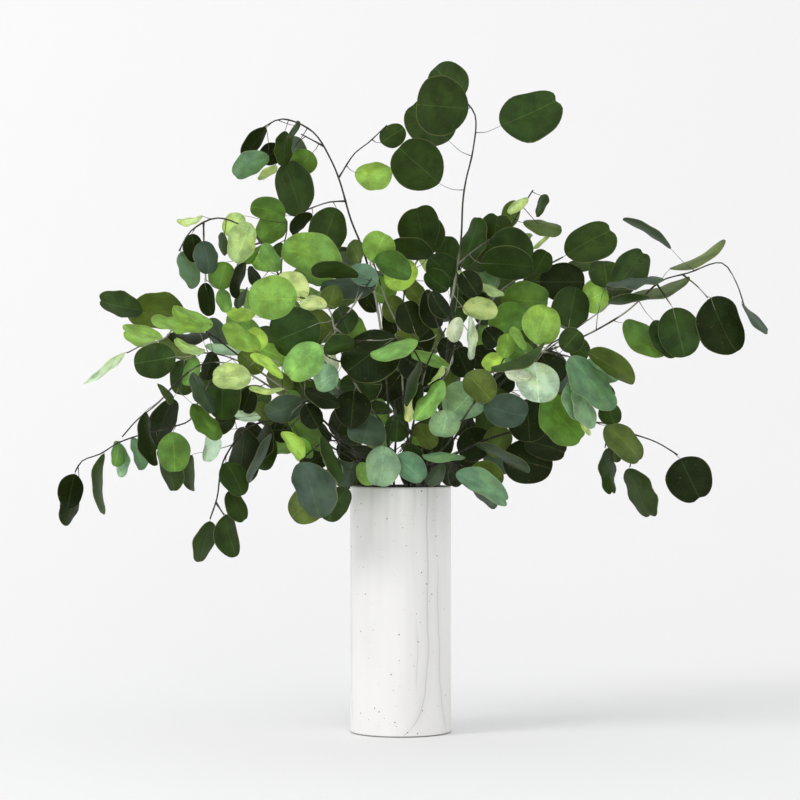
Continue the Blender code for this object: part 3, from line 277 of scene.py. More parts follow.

# Each branch, read from a front view in which a pixel is a millimetre at the vase's axis:
# where it stands in the mouth (ring, bearing in degrees, 0 to the right and 90 to the back), how thick
# its stem is at the foot (mm), the way of the stem and of its twigs (column, row, mm behind the axis),
# and its leaves (foot column and row, tip column and row, breadth seen, mm that the leaf stands back).
BRANCHES = {
    "front_left_low": (
        "outer", 234, 4.4,
        [(362, 456, -62), (344, 442, -80), (324, 442, -92), (306, 455, -98)],
        [
            [(344, 442, -80), (338, 462, -90), (333, 480, -96)],
        ],
        [
            (304, 461, 321, 518, 40, -4), (326, 490, 291, 517, 35, 6), (346, 487, 327, 521, 27, 4),
            (321, 436, 344, 482, 13, -8), (325, 455, 341, 483, 14, 0), (378, 455, 350, 450, 12, 0),
            (362, 462, 369, 486, 18, -6),
        ],
    ),
    "centre_left": (
        "inner", 225, 5.2,
        [(385, 430, -42), (365, 400, -66), (348, 370, -88), (335, 332, -98), (328, 308, -104),
         (317, 300, -107), (300, 297, -110)],
        [
            [(348, 370, -88), (330, 358, -96), (316, 346, -100)],
            [(365, 400, -66), (335, 396, -84), (308, 400, -92), (292, 412, -96)],
            [(335, 332, -98), (350, 310, -92), (364, 290, -84), (372, 278, -78)],
            [(335, 332, -98), (352, 340, -104), (372, 340, -108)],
            [(335, 396, -84), (310, 379, -88), (286, 367, -90), (266, 357, -92)],
            [(308, 400, -92), (298, 418, -90), (288, 429, -88)],
        ],
        [
            (320, 345, 287, 376, 34, -14), (319, 323, 271, 343, 50, 0), (297, 297, 249, 300, 42, -4),
            (396, 338, 346, 374, 50, 4), (354, 341, 323, 350, 19, -6), (350, 334, 338, 308, 28, 0),
            (327, 303, 300, 305, 14, -8), (335, 285, 328, 309, 22, -6), (309, 293, 276, 281, 27, 0),
            (344, 266, 283, 246, 42, 4), (359, 272, 311, 270, 16, -2), (376, 288, 320, 288, 24, -6),
            (378, 282, 350, 268, 22, 0), (321, 345, 338, 370, 12, -4), (304, 400, 266, 415, 26, 0),
            (304, 392, 340, 405, 16, -6), (305, 404, 318, 428, 22, 2), (288, 415, 326, 450, 20, 4),
            (283, 431, 303, 459, 15, 0), (300, 437, 309, 459, 13, 0), (258, 352, 226, 323, 22, 0),
            (283, 378, 252, 353, 10, 4), (354, 391, 351, 427, 36, 6), (382, 383, 340, 386, 26, 4),
            (338, 372, 314, 384, 26, 4),
        ],
    ),
    "centre_front": (
        "inner", 300, 5.0,
        [(412, 430, -60), (420, 395, -86), (427, 365, -100), (433, 346, -108), (438, 333, -110),
         (446, 328, -112)],
        [
            [(420, 395, -86), (440, 380, -98), (450, 365, -104), (455, 345, -108)],
            [(412, 430, -60), (398, 418, -76), (390, 408, -84)],
            [(427, 365, -100), (412, 348, -106), (400, 340, -110)],
            [(438, 333, -110), (434, 315, -108), (428, 298, -106)],
            [(412, 430, -60), (406, 444, -78), (400, 452, -88)],
        ],
        [
            (448, 410, 441, 438, 30, -12), (420, 361, 403, 405, 10, -6), (411, 392, 408, 422, 13, -4),
            (420, 384, 415, 414, 10, 0), (444, 381, 416, 421, 18, 0), (443, 367, 431, 385, 5, -4),
            (450, 366, 412, 354, 12, 0), (418, 342, 371, 356, 16, -6), (395, 333, 418, 342, 14, 0),
            (425, 290, 437, 328, 20, 0), (430, 292, 447, 318, 18, 6), (415, 333, 404, 302, 28, 8),
            (385, 446, 379, 486, 34, -6), (370, 416, 363, 446, 38, 0), (397, 455, 424, 480, 26, -2),
            (424, 452, 402, 449, 12, 0), (392, 408, 368, 410, 14, 0), (398, 414, 396, 442, 24, 4),
            (418, 424, 434, 448, 20, 6),
        ],
    ),
    "front_right": (
        "outer", 318, 4.8,
        [(450, 440, -56), (478, 398, -90), (500, 375, -106), (513, 362, -113), (537, 352, -120),
         (555, 352, -124), (565, 360, -126), (569, 380, -126)],
        [
            [(478, 398, -90), (470, 384, -100), (466, 374, -106)],
            [(500, 375, -106), (503, 360, -104), (510, 348, -100), (514, 338, -96)],
            [(555, 352, -124), (573, 358, -122), (590, 372, -119), (600, 392, -114)],
            [(513, 362, -113), (530, 372, -108), (544, 387, -104)],
            [(537, 352, -120), (552, 343, -112), (566, 336, -104)],
        ],
        [
            (536, 362, 539, 403, 41, -6), (505, 371, 530, 380, 14, -8), (569, 380, 582, 420, 20, -6),
            (571, 382, 588, 437, 6, 0), (577, 380, 594, 428, 18, 4), (570, 357, 613, 410, 30, 0),
            (541, 397, 580, 441, 38, 8), (588, 386, 613, 399, 20, 6), (607, 402, 614, 425, 22, 8),
            (547, 346, 487, 374, 9, -12), (503, 366, 484, 357, 20, 0), (467, 373, 492, 400, 30, 0),
            (478, 385, 450, 415, 42, -6), (484, 405, 527, 417, 34, 4), (521, 349, 517, 329, 12, 0),
            (505, 358, 507, 333, 17, 0), (589, 351, 636, 380, 21, 4), (563, 350, 580, 330, 24, 0),
            (570, 343, 589, 356, 22, 4), (536, 345, 548, 307, 38, 6),
        ],
    ),
    "front_low_right": (
        "outer", 292, 4.0,
        [(430, 464, -64), (446, 460, -82), (462, 464, -94), (471, 470, -98)],
        [],
        [
            (458, 471, 510, 501, 24, 0), (472, 466, 502, 484, 26, 6), (468, 477, 497, 507, 16, 5),
            (465, 457, 422, 458, 8, -6), (445, 465, 427, 485, 14, -4), (451, 464, 456, 482, 12, 4),
        ],
    ),
    "crown": (
        "inner", 20, 6.0,
        [(432, 420, 8), (446, 360, 6), (452, 300, 2), (457, 270, 0), (461, 240, -4), (465, 222, -8),
         (463, 200, -6), (466, 180, 0), (468, 163, 2), (473, 150, 4), (475, 115, 6), (470, 101, 6),
         (463, 98, 4)],
        [
            [(457, 270, 0), (472, 252, -6), (486, 242, -10), (495, 236, -12)],
        ],
        [
            (466, 108, 413, 104, 60, -10), (463, 98, 433, 65, 44, 4), (449, 142, 412, 105, 48, 6),
            (438, 182, 397, 146, 52, 0), (501, 127, 560, 100, 50, 0), (463, 268, 481, 218, 24, 4),
            (487, 243, 530, 260, 50, 0), (481, 262, 534, 266, 34, -4), (492, 262, 498, 213, 38, 8),
            (457, 272, 503, 296, 9, -8), (463, 306, 497, 314, 23, -8), (455, 318, 456, 341, 17, -10),
            (471, 316, 471, 360, 9, -10), (457, 283, 430, 257, 34, 8), (462, 272, 478, 296, 24, 6),
            (448, 290, 426, 272, 22, 8),
        ],
    ),
    "low_left": (
        "outer", 193, 4.4,
        [(330, 446, -20), (300, 429, -28), (270, 421, -34), (246, 430, -40), (231, 443, -45),
         (223, 462, -48), (219, 481, -50), (217, 498, -50), (210, 519, -50)],
        [
            [(217, 498, -50), (221, 507, -52), (224, 515, -54)],
        ],
        [
            (209, 521, 199, 562, 20, 0), (223, 515, 234, 557, 24, 0), (228, 491, 244, 521, 20, 0),
            (226, 462, 243, 495, 26, -4), (246, 427, 238, 486, 32, 6), (272, 434, 247, 482, 9, -6),
            (270, 425, 252, 465, 18, 0), (268, 432, 262, 470, 24, 6), (213, 430, 207, 462, 16, 0),
            (190, 455, 189, 491, 13, 6), (235, 417, 260, 415, 12, -4), (300, 426, 284, 404, 22, 0),
            (298, 430, 270, 430, 24, 4),
        ],
    ),
    "left_lower": (
        "outer", 207, 4.8,
        [(335, 438, -46), (285, 397, -62), (246, 372, -74), (226, 363, -80), (200, 365, -85),
         (179, 380, -90), (174, 397, -92), (158, 403, -95), (137, 420, -100), (122, 437, -102)],
        [
            [(226, 363, -80), (210, 384, -74), (198, 402, -72), (190, 420, -72), (172, 427, -74),
             (140, 435, -78), (118, 443, -82), (100, 454, -86), (82, 461, -88), (75, 472, -90)],
        ],
        [
            (74, 474, 67, 508, 25, 0), (78, 486, 62, 529, 20, 6), (99, 454, 100, 515, 10, 2),
            (119, 441, 116, 466, 14, 0), (121, 442, 122, 477, 12, 4), (134, 437, 143, 470, 15, 0),
            (143, 412, 154, 466, 15, 0), (171, 398, 153, 449, 26, 6), (172, 397, 160, 390, 12, 0),
            (173, 432, 175, 472, 32, -6), (163, 447, 177, 490, 22, 6), (191, 405, 220, 439, 19, 0),
            (191, 373, 212, 414, 13, -6), (224, 375, 222, 420, 35, 0), (251, 378, 212, 376, 26, -6),
            (252, 388, 243, 412, 20, 4), (262, 350, 250, 329, 22, 0), (284, 391, 249, 389, 6, -6),
        ],
    ),
    "upper_left": (
        "outer", 180, 5.0,
        [(352, 420, -4), (312, 340, -8), (277, 272, -12), (256, 236, -16), (243, 220, -20),
         (218, 218, -26), (202, 226, -28), (191, 231, -30), (180, 240, -34), (179, 251, -37)],
        [
            [(277, 272, -12), (283, 250, -8), (287, 230, -6), (287, 221, -6)],
            [(256, 236, -16), (243, 250, -24), (236, 270, -28), (230, 284, -30)],
            [(202, 226, -28), (204, 246, -36), (205, 268, -38), (206, 282, -38)],
        ],
        [
            (243, 215, 224, 233, 20, -4), (250, 223, 233, 262, 29, -8), (203, 218, 177, 223, 7, 0),
            (191, 234, 196, 262, 20, 0), (203, 241, 209, 274, 24, -4), (181, 252, 197, 287, 20, 0),
            (225, 234, 221, 253, 12, 0), (286, 219, 256, 240, 28, 0), (264, 243, 276, 272, 18, -4),
            (277, 243, 275, 264, 15, 4), (256, 246, 249, 262, 12, 0), (226, 262, 218, 289, 26, 0),
            (244, 262, 234, 298, 12, 0), (247, 270, 261, 283, 14, 0), (248, 291, 236, 303, 10, 0),
            (219, 290, 229, 311, 15, 0), (256, 314, 226, 312, 14, 6), (204, 283, 210, 316, 17, 0),
            (300, 318, 276, 300, 24, 6), (318, 352, 296, 330, 26, 10),
        ],
    ),
    "left": (
        "outer", 155, 4.8,
        [(345, 442, 22), (303, 403, 30), (252, 366, 38), (214, 337, 42), (185, 320, 45), (152, 315, 48)],
        [
            [(185, 320, 45), (165, 338, 40), (143, 345, 36), (127, 353, 32)],
            [(252, 366, 38), (225, 356, 30), (204, 353, 24), (190, 356, 20)],
        ],
        [
            (143, 310, 98, 300, 25, 0), (184, 309, 127, 313, 38, 4), (124, 353, 86, 386, 9, 0),
            (212, 327, 171, 310, 21, -6), (197, 329, 151, 321, 15, -6), (163, 338, 122, 328, 12, 0),
            (176, 357, 134, 364, 36, 0), (185, 360, 180, 395, 30, 0), (204, 354, 174, 341, 10, -4),
            (247, 353, 205, 345, 11, -4), (196, 357, 187, 386, 16, 4), (212, 335, 167, 338, 12, 4),
            (335, 436, 352, 404, 30, 4), (214, 352, 206, 380, 18, 4), (262, 372, 240, 352, 24, 6),
            (292, 392, 268, 372, 22, 6),
        ],
    ),
    "arch": (
        "inner", 140, 5.6,
        [(388, 400, 25), (376, 300, 35), (362, 247, 32), (351, 220, 28), (345, 205, 25), (340, 182, 20),
         (332, 162, 20), (327, 150, 20), (313, 132, 14), (298, 123, 8), (282, 119, 2), (268, 125, -6),
         (262, 128, -8)],
        [
            [(339, 176, 20), (355, 153, 22), (368, 143, 22), (387, 125, 22)],
            [(345, 205, 25), (330, 202, 18), (314, 207, 12), (304, 211, 10)],
            [(327, 150, 20), (314, 141, 22), (301, 134, 24)],
        ],
        [
            (267, 153, 234, 176, 24, -6), (265, 127, 243, 158, 16, 0), (284, 147, 261, 160, 22, 0),
            (284, 131, 283, 166, 18, 4), (294, 136, 299, 172, 20, 0), (313, 152, 296, 172, 27, 0),
            (275, 165, 261, 180, 10, 0), (302, 215, 285, 163, 39, -4), (286, 214, 251, 205, 25, 0),
            (335, 208, 321, 252, 39, -6), (311, 213, 290, 233, 14, 0), (381, 143, 404, 128, 24, 0),
            (355, 173, 392, 178, 28, 0), (360, 262, 350, 242, 20, -8), (299, 126, 288, 138, 8, 0),
        ],
    ),
    "upper_centre": (
        "outer", 72, 4.6,
        [(405, 420, 52), (402, 340, 62), (406, 285, 60), (420, 254, 54), (426, 230, 48), (427, 214, 46)],
        [
            [(402, 340, 62), (386, 300, 44), (376, 270, 34), (372, 258, 30)],
        ],
        [
            (425, 250, 416, 206, 43, 0), (430, 254, 428, 216, 32, 4), (434, 253, 386, 246, 22, -6),
            (372, 262, 385, 234, 34, -4), (375, 258, 412, 274, 26, -8), (386, 285, 416, 265, 31, 0),
            (435, 275, 414, 248, 9, -4), (404, 318, 384, 300, 26, 0), (398, 352, 424, 372, 34, 0),
            (404, 350, 432, 328, 34, 6), (402, 372, 382, 398, 34, 6),
        ],
    ),
    "upper_right": (
        "outer", 32, 4.8,
        [(446, 420, 38), (470, 345, 50), (490, 303, 54), (511, 283, 56), (534, 272, 54), (547, 262, 52),
         (563, 257, 50)],
        [
            [(490, 303, 54), (500, 262, 48), (508, 236, 44), (517, 215, 42), (528, 198, 40),
             (533, 190, 40)],
        ],
        [
            (528, 198, 508, 213, 10, -4), (542, 196, 540, 215, 12, 0), (523, 223, 562, 230, 15, 0),
            (566, 255, 613, 230, 40, 0), (535, 272, 547, 251, 24, 0), (540, 282, 585, 282, 40, -6),
            (501, 298, 549, 302, 34, -8), (530, 310, 490, 330, 33, -12), (462, 358, 440, 342, 26, 2),
            (470, 352, 500, 366, 28, 0), (496, 290, 478, 270, 24, 0), (550, 236, 534, 246, 6, 0),
            (486, 330, 500, 346, 24, 6), (468, 376, 456, 348, 28, 8), (488, 300, 462, 298, 20, 4),
        ],
    ),
    "right": (
        "outer", 8, 5.0,
        [(460, 430, 14), (502, 382, 18), (546, 352, 16), (580, 338, 10), (600, 328, 6), (626, 312, 0),
         (642, 298, -4), (661, 281, -8), (688, 273, -10), (706, 267, -11), (722, 263, -12),
         (731, 269, -13), (736, 282, -14), (744, 305, -15)],
        [
            [(688, 273, -10), (697, 286, -14), (708, 298, -16)],
            [(661, 281, -8), (666, 293, -12), (671, 305, -14)],
            [(546, 352, 16), (574, 330, 24), (598, 313, 26), (612, 302, 26), (632, 289, 24)],
        ],
        [
            (709, 298, 734, 353, 47, 0), (673, 308, 685, 357, 42, 0), (622, 325, 668, 353, 28, 0),
            (653, 321, 676, 357, 24, 6), (672, 247, 624, 217, 9, 4), (672, 273, 726, 243, 10, 0),
            (741, 305, 768, 333, 8, 0), (568, 328, 576, 287, 39, 0), (608, 289, 583, 304, 34, -6),
            (607, 288, 603, 259, 34, 0), (617, 288, 645, 251, 35, 4), (650, 298, 608, 302, 9, 2),
            (633, 298, 691, 281, 12, 0), (607, 286, 664, 278, 9, -4), (540, 352, 560, 384, 34, 4),
            (520, 368, 540, 392, 30, 8), (500, 388, 484, 434, 34, 8), (534, 358, 508, 348, 24, 6),
            (514, 378, 492, 388, 24, 6),
        ],
    ),
    "right_lower": (
        "outer", 344, 4.6,
        [(472, 446, -22), (520, 430, -35), (570, 425, -45), (603, 423, -48), (630, 433, -50),
         (656, 442, -52), (668, 448, -52), (678, 455, -52)],
        [
            [(630, 433, -50), (633, 450, -54), (630, 467, -56)],
            [(603, 423, -48), (606, 436, -52), (605, 448, -54)],
        ],
        [
            (680, 458, 700, 499, 46, 0), (630, 468, 650, 519, 25, 0), (607, 448, 611, 495, 16, -4),
            (606, 425, 641, 460, 28, -4), (608, 435, 618, 462, 12, 4), (476, 443, 530, 471, 11, -6),
            (503, 455, 552, 469, 44, 0), (525, 440, 566, 452, 28, 0), (527, 400, 530, 443, 42, 4),
            (505, 427, 492, 457, 28, 0), (560, 418, 556, 392, 26, 4), (490, 436, 458, 452, 34, 6),
        ],
    ),
    "back_left": ("outer", 126, 4.6, [(368, 420, 80), (330, 368, 124), (298, 326, 156), (276, 296, 176)], [
        [(330, 368, 124), (312, 372, 150), (296, 380, 170)],
    ], []),
    "back_mid": ("outer", 100, 4.6, [(396, 420, 86), (388, 350, 128), (378, 296, 160), (370, 262, 184)], [
        [(388, 350, 128), (400, 338, 156), (412, 332, 178)],
    ], [(388, 446, 366, 496, 40, 14), (408, 446, 430, 498, 40, 14)]),
    "back_right": ("outer", 50, 4.6, [(448, 422, 82), (486, 368, 122), (518, 325, 154), (540, 296, 172)], [
        [(486, 368, 122), (500, 384, 146), (520, 396, 166)],
    ], []),
}


def seen(column, row, back):
    """The place that shows at this column and row of the front view, back millimetres behind the axis."""
    grow = (EYE_AWAY + back * MM) / EYE_AWAY * MM
    return Vector(((column - AXIS_COLUMN) * grow, back * MM, EYE_HEIGHT + (EYE_ROW - row) * grow))


def curved(points, step):
    """Points about a step apart on a smooth curve through these points."""
    found = []
    ends = [points[0] * 2 - points[1]] + points + [points[-1] * 2 - points[-2]]
    for a, b, c, d in zip(ends, ends[1:], ends[2:], ends[3:]):
        t1 = (b - a).length ** 0.5
        t2 = t1 + (c - b).length ** 0.5
        t3 = t2 + (d - c).length ** 0.5
        count = max(1, round((c - b).length / step))
        for k in range(count):
            t = t1 + (t2 - t1) * k / count
            ab = a * (t1 - t) / t1 + b * t / t1
            bc = b * (t2 - t) / (t2 - t1) + c * (t - t1) / (t2 - t1)
            cd = c * (t3 - t) / (t3 - t2) + d * (t - t2) / (t3 - t2)
            abc = ab * (t2 - t) / t2 + bc * t / t2
            bcd = bc * (t3 - t) / (t3 - t1) + cd * (t - t1) / (t3 - t1)
            found.append(abc * (t2 - t) / (t2 - t1) + bcd * (t - t1) / (t2 - t1))
    return found + [points[-1]]


def thinned(points, least):
    """These points without those nearer than least to the one kept before, but with both ends."""
    kept = [points[0]]
    for point in points[1:-1]:
        if (point - kept[-1]).length >= least and (point - points[-1]).length >= least * STEP_LEAST:
            kept.append(point)
    return kept + [points[-1]]


def stem_way(ring, bearing, route):
    """A stem's points: straight from the vase's floor to its mouth, then along its route."""
    foot_out, mouth_out = RINGS[ring]
    way = Vector((math.cos(math.radians(bearing)), math.sin(math.radians(bearing)), 0))
    foot = way * foot_out + Vector((0, 0, STEM_FOOT))
    mouth = way * mouth_out + Vector((0, 0, MOUTH_TOP))
    places = [seen(*place) for place in route]
    curve = curved([mouth.lerp(foot, 0.2), mouth] + places, STEM_STEP)
    first = next(k for k, point in enumerate(curve) if (point - mouth).length < 1e-6)
    return [foot] + thinned(curve[first:], STEM_STEP * STEP_LEAST)


def buds(ways):
    """The points of a branch that twigs and stalks start from: above the mouth, between its own points."""
    found = []
    for number, way in enumerate(ways):
        for one, other in list(zip(way, way[1:]))[0 if number else 1:]:
            found += [one.lerp(other, part) for part in BUD_PARTS]
    return found


def twig_way(route, carriers):
    """A twig's points, from the nearest bud of the stems and twigs before it."""
    places = [seen(*place) for place in route]
    root = min(buds(carriers), key=lambda point: (point - places[0]).length)
    if (root - places[0]).length < TWIG_STEP * 0.5:
        places = places[1:]
    return thinned(curved([root] + places, TWIG_STEP), TWIG_STEP * STEP_LEAST)


def root_of(foot, along, free, pick):
    """Where on its branch a leaf's stalk starts: near its foot, and behind it. Pick 0 is the best place."""
    def cost(point):
        stalk = foot - point
        behind = stalk.normalized().dot(along) if stalk.length > 0 else 1
        poor = stalk.length < STALK_LEAST or behind < BENT
        return stalk.length * (1 + ASIDE_COST * (1 - behind)) + (POOR_COST if poor else 0)
    places = sorted(free, key=cost)
    return places[min(pick, len(places) - 1)]


def leaf_from(foot, tip, breadth, root, cup, bow):
    """A leaf: where it is, its true size, and which way its face points."""
    along = (tip - foot).normalized()
    return {"foot": foot, "along": along, "across": None, "length": (tip - foot).length,
            "breadth": breadth, "root": root, "cup": cup, "bow": bow}


def read_leaf(row, wood, free, draw, turned, back, pick):
    """The leaf that shows like this row, with the length and breadth that the view foreshortens.

    Its bow and cup would set its middle aside, so the leaf is moved to show where the row has it.
    """
    column, line, tip_column, tip_line, breadth, depth = row
    flat_foot = seen(column, line, 0)
    flat_tip = seen(tip_column, tip_line, 0)
    shown = (flat_tip - flat_foot).length
    length = max(shown, breadth * MM / LEAF_BREADTH, LEAF_LEAST)
    lean = math.acos(min(1, shown / length)) * draw.choice((1, -1))
    lean += draw.uniform(-LEAN_LOOSE, LEAN_LOOSE)
    near = min(wood, key=lambda p: (p.x - flat_foot.x) ** 2 + (p.z - flat_foot.z) ** 2)
    far = near.y / MM + depth + back
    foot = seen(column, line, far)
    drop = length * math.sin(lean)
    tip = seen(tip_column, tip_line, far + drop / MM)
    true_breadth = max(LEAF_BREADTH * length * draw.uniform(*BREADTH_LOOSE), breadth * MM)
    sight = (foot - Vector((0, -EYE_AWAY, EYE_HEIGHT))).normalized()
    side = (tip - foot).normalized().cross(sight).normalized()
    roll = math.acos(min(1, breadth * MM / true_breadth))
    up_side = draw.random() < (UPWARD_BELOW if foot.z < EYE_HEIGHT else UPWARD_ABOVE)
    face = side.cross((tip - foot).normalized())
    if (face.z > 0) != up_side:
        roll = -roll
    if turned:
        roll = -roll
    root = root_of(foot, (tip - foot).normalized(), free, pick)
    leaf = leaf_from(foot, tip, true_breadth, root, draw.uniform(*CUPS), draw.uniform(*BOWS))
    leaf["across"] = Matrix.Rotation(roll, 3, leaf["along"]) @ side
    ring = [leaf_point(leaf, t, s * way) for t, s in outline(3) for way in (-1, 1)]
    off = sum(ring, Vector()) / len(ring) - (foot + tip) / 2
    leaf["foot"] = foot - Vector((off.x, 0, off.z))
    return leaf


def leaf_point(leaf, t, s):
    """The point at t of the leaf's length and s of its half breadth, on its cupped and bowed face."""
    half = leaf["breadth"] / 2
    face = leaf["across"].cross(leaf["along"])
    rise = leaf["cup"] * half * s * s + leaf["bow"] * leaf["length"] * 4 * t * (t - 1)
    return leaf["foot"] + leaf["along"] * leaf["length"] * t + leaf["across"] * half * s + face * rise


def outline(sides):
    """Half the rim of a blade from its foot: how far along it and across it each of these points lies."""
    turns = [math.pi * (k + 0.72) / (sides + 0.44) for k in range(sides)]
    return [((1 - math.cos(turn)) / 2, math.sin(turn) ** 0.9 * (1 + 0.1 * math.cos(turn))) for turn in turns]


def bent_back(leaf):
    """Whether the leaf points back along its own stalk, which is then a piece of its own."""
    return (leaf["foot"] - leaf["root"]).normalized().dot(leaf["along"]) < BENT


def blade_faces(leaf, sides, ribbed=True):
    """The middle surface of a leaf and its stalk: its rim, rib, the way each point is thick, and triangles.

    The stalk's root leans its two sides together underneath, so that it is three-sided there.
    """
    face = leaf["across"].cross(leaf["along"])
    way = (leaf["foot"] - leaf["root"]).normalized()
    broad = leaf["across"]
    if not bent_back(leaf):
        broad = way.cross(face)
        broad = broad.normalized() if broad.length > BROAD_LEAST else leaf["across"]
    neck = (broad + leaf["across"]).normalized()
    side = outline(sides)
    rim = [leaf["foot"] - neck * STALK_HALF]
    rim += [leaf_point(leaf, t, -s) for t, s in side]
    rim += [leaf_point(leaf, 1, 0)]
    rim += [leaf_point(leaf, t, s) for t, s in reversed(side)]
    rim += [leaf["foot"] + neck * STALK_HALF]
    count = len(rim)
    ups = [face] * (count + 1)
    tail = 0 if bent_back(leaf) else 2
    rib = [leaf_point(leaf, RIB_AT, 0)] if ribbed else []
    middle = count + tail if ribbed else sides + 1
    blade = [(k, (k + 1) % count, middle) for k in range(count) if middle not in (k, (k + 1) % count)]
    if not tail:
        return rim, rib, ups, blade
    stalk_up = broad.cross(way).normalized()
    if stalk_up.dot(face) < 0:
        stalk_up = -stalk_up
    aside = broad * STALK_HALF / 2
    lean = broad * STALK_HALF / BLADE_THICK
    rim += [leaf["root"] + aside, leaf["root"] - aside]
    faces = blade + [(0, count - 1, count), (0, count, count + 1)]
    return rim, rib, ups[1:] + [stalk_up + lean, stalk_up - lean, face], faces


def closed_blade(rim, rib, ups, faces, half):
    """A surface made a closed shape, half as thick each way, with its triangles alike on both faces."""
    points = rim + rib
    count = len(points)
    shape = [point + up * half for point, up in zip(points, ups)]
    shape += [point - up * half for point, up in zip(points, ups)]
    shell = [(a, c, b) for a, b, c in faces] + [(a + count, b + count, c + count) for a, b, c in faces]
    for k in range(len(rim)):
        after = (k + 1) % len(rim)
        shell += [(k, after, after + count), (k, after + count, k + count)]
    return shape, shell


def thick_blade(leaf, clear, stalk=True):
    """A leaf as a closed shape that is clear thicker each way, with the outer part of its stalk or none."""
    rim, rib, ups, faces = blade_faces(leaf, 2)
    blade = 7
    if stalk and not bent_back(leaf):
        reach = leaf["foot"] - leaf["root"]
        for end in (blade, blade + 1):
            rim[end] = rim[end] + reach * min(STALK_CHECKED, TWIG_CLEAR / reach.length)
    else:
        rim = rim[:blade]
        ups = ups[:blade] + ups[-1:]
        faces = [(k, (k + 1) % blade, blade) for k in range(blade)]
    middle = leaf_point(leaf, 0.5, 0)
    wide = [middle + (point - middle) * BLADE_GROWN for point in rim]
    return closed_blade(wide, rib, ups, faces, clear)


def thick_way(points, radius):
    """A four-sided tube round these points, as a closed shape."""
    shape = []
    shell = []
    for k, point in enumerate(points):
        way = (points[min(k + 1, len(points) - 1)] - points[max(k - 1, 0)]).normalized()
        one = way.orthogonal().normalized()
        if shape:
            one = (last - way * last.dot(way)).normalized()
        last = one
        two = way.cross(one)
        shape += [point + one * radius, point + two * radius, point - one * radius, point - two * radius]
    for k in range(len(points) - 1):
        for j in range(4):
            a, b = 4 * k + j, 4 * k + (j + 1) % 4
            shell += [(a, b, b + 4), (a, b + 4, a + 4)]
    return shape, shell


class Taken:
    """The room that is already taken, as closed shapes with their boxes."""

    def __init__(self):
        self.shapes = []

    def add(self, owner, shape, shell):
        low = [min(p[k] for p in shape) for k in range(3)]
        high = [max(p[k] for p in shape) for k in range(3)]
        self.shapes.append((owner, low, high, BVHTree.FromPolygons(shape, shell)))

    def hit(self, leaf, owner):
        """Whether a leaf meets what is here. It may start on its own branch's wood."""
        whole, bare = thick_blade(leaf, LEAF_ROOM), thick_blade(leaf, LEAF_ROOM, stalk=False)
        low = [min(p[k] for p in whole[0]) for k in range(3)]
        high = [max(p[k] for p in whole[0]) for k in range(3)]
        trees = BVHTree.FromPolygons(*whole), BVHTree.FromPolygons(*bare)
        for name, other_low, other_high, other in self.shapes:
            if any(low[k] > other_high[k] or high[k] < other_low[k] for k in range(3)):
                continue
            if trees[name == owner + WOOD].overlap(other):
                return name
        return None


def vase_room():
    """The vase as a closed drum a little larger than it is, which no leaf enters."""
    turns = [math.tau * k / DRUM_SIDES for k in range(DRUM_SIDES)]
    out = VASE_ACROSS / 2 + DRUM_MORE
    ends = (-DRUM_MORE, VASE_HIGH + DRUM_MORE)
    shape = [Vector((out * math.cos(turn), out * math.sin(turn), z)) for z in ends for turn in turns]
    shape += [Vector((0, 0, z)) for z in ends]
    shell = []
    for k in range(DRUM_SIDES):
        after = (k + 1) % DRUM_SIDES
        top, after_top = k + DRUM_SIDES, after + DRUM_SIDES
        shell += [(k, after, after_top), (k, after_top, top)]
        shell += [(after, k, len(shape) - 2), (top, after_top, len(shape) - 1)]
    return shape, shell


def depths_over(point, fronts):
    """How deep each leaf stands that shows where this point does in the front view."""
    shrink = EYE_AWAY / (EYE_AWAY + point.y)
    x, z = point.x * shrink, (point.z - EYE_HEIGHT) * shrink
    for back, centre_x, centre_z, way_x, way_z, half_long, half_broad in fronts:
        along = (x - centre_x) * way_x + (z - centre_z) * way_z
        aside = (x - centre_x) * way_z - (z - centre_z) * way_x
        if (along / half_long) ** 2 + (aside / half_broad) ** 2 < 1:
            yield back


def covered(leaf, fronts):
    """Whether leaves in front of this one hide it in the front view."""
    spots = [leaf_point(leaf, t, s) for t, s in HIDE_SPOTS]
    return all(any(back <= spot.y for back in depths_over(spot, fronts)) for spot in spots)


def front_of(row, leaf):
    """What a leaf hides in the front view: its depth, and the middle, way and half sizes of an oval."""
    column, line, tip_column, tip_line, breadth, _ = row
    x0, x1 = (column - AXIS_COLUMN) * MM, (tip_column - AXIS_COLUMN) * MM
    z0, z1 = (EYE_ROW - line) * MM, (EYE_ROW - tip_line) * MM
    size = math.hypot(x1 - x0, z1 - z0)
    return (leaf["foot"].y, (x0 + x1) / 2, (z0 + z1) / 2, (x1 - x0) / size, (z1 - z0) / size,
            size / 2 + HIDE_MORE, breadth * MM / 2 + HIDE_MORE)


def first_clear(row, name, branch, taken, draw):
    """The leaf that shows like this row, set as little back or forward as clears all that is there."""
    state = draw.getstate()
    wood = buds(branch["ways"])
    for back in BACK_TRIES:
        for pick in ROOT_PICKS:
            for turned in (False, True):
                draw.setstate(state)
                leaf = read_leaf(row, wood, branch["free"], draw, turned, back, pick)
                if taken.hit(leaf, name) is None:
                    return leaf
    return None


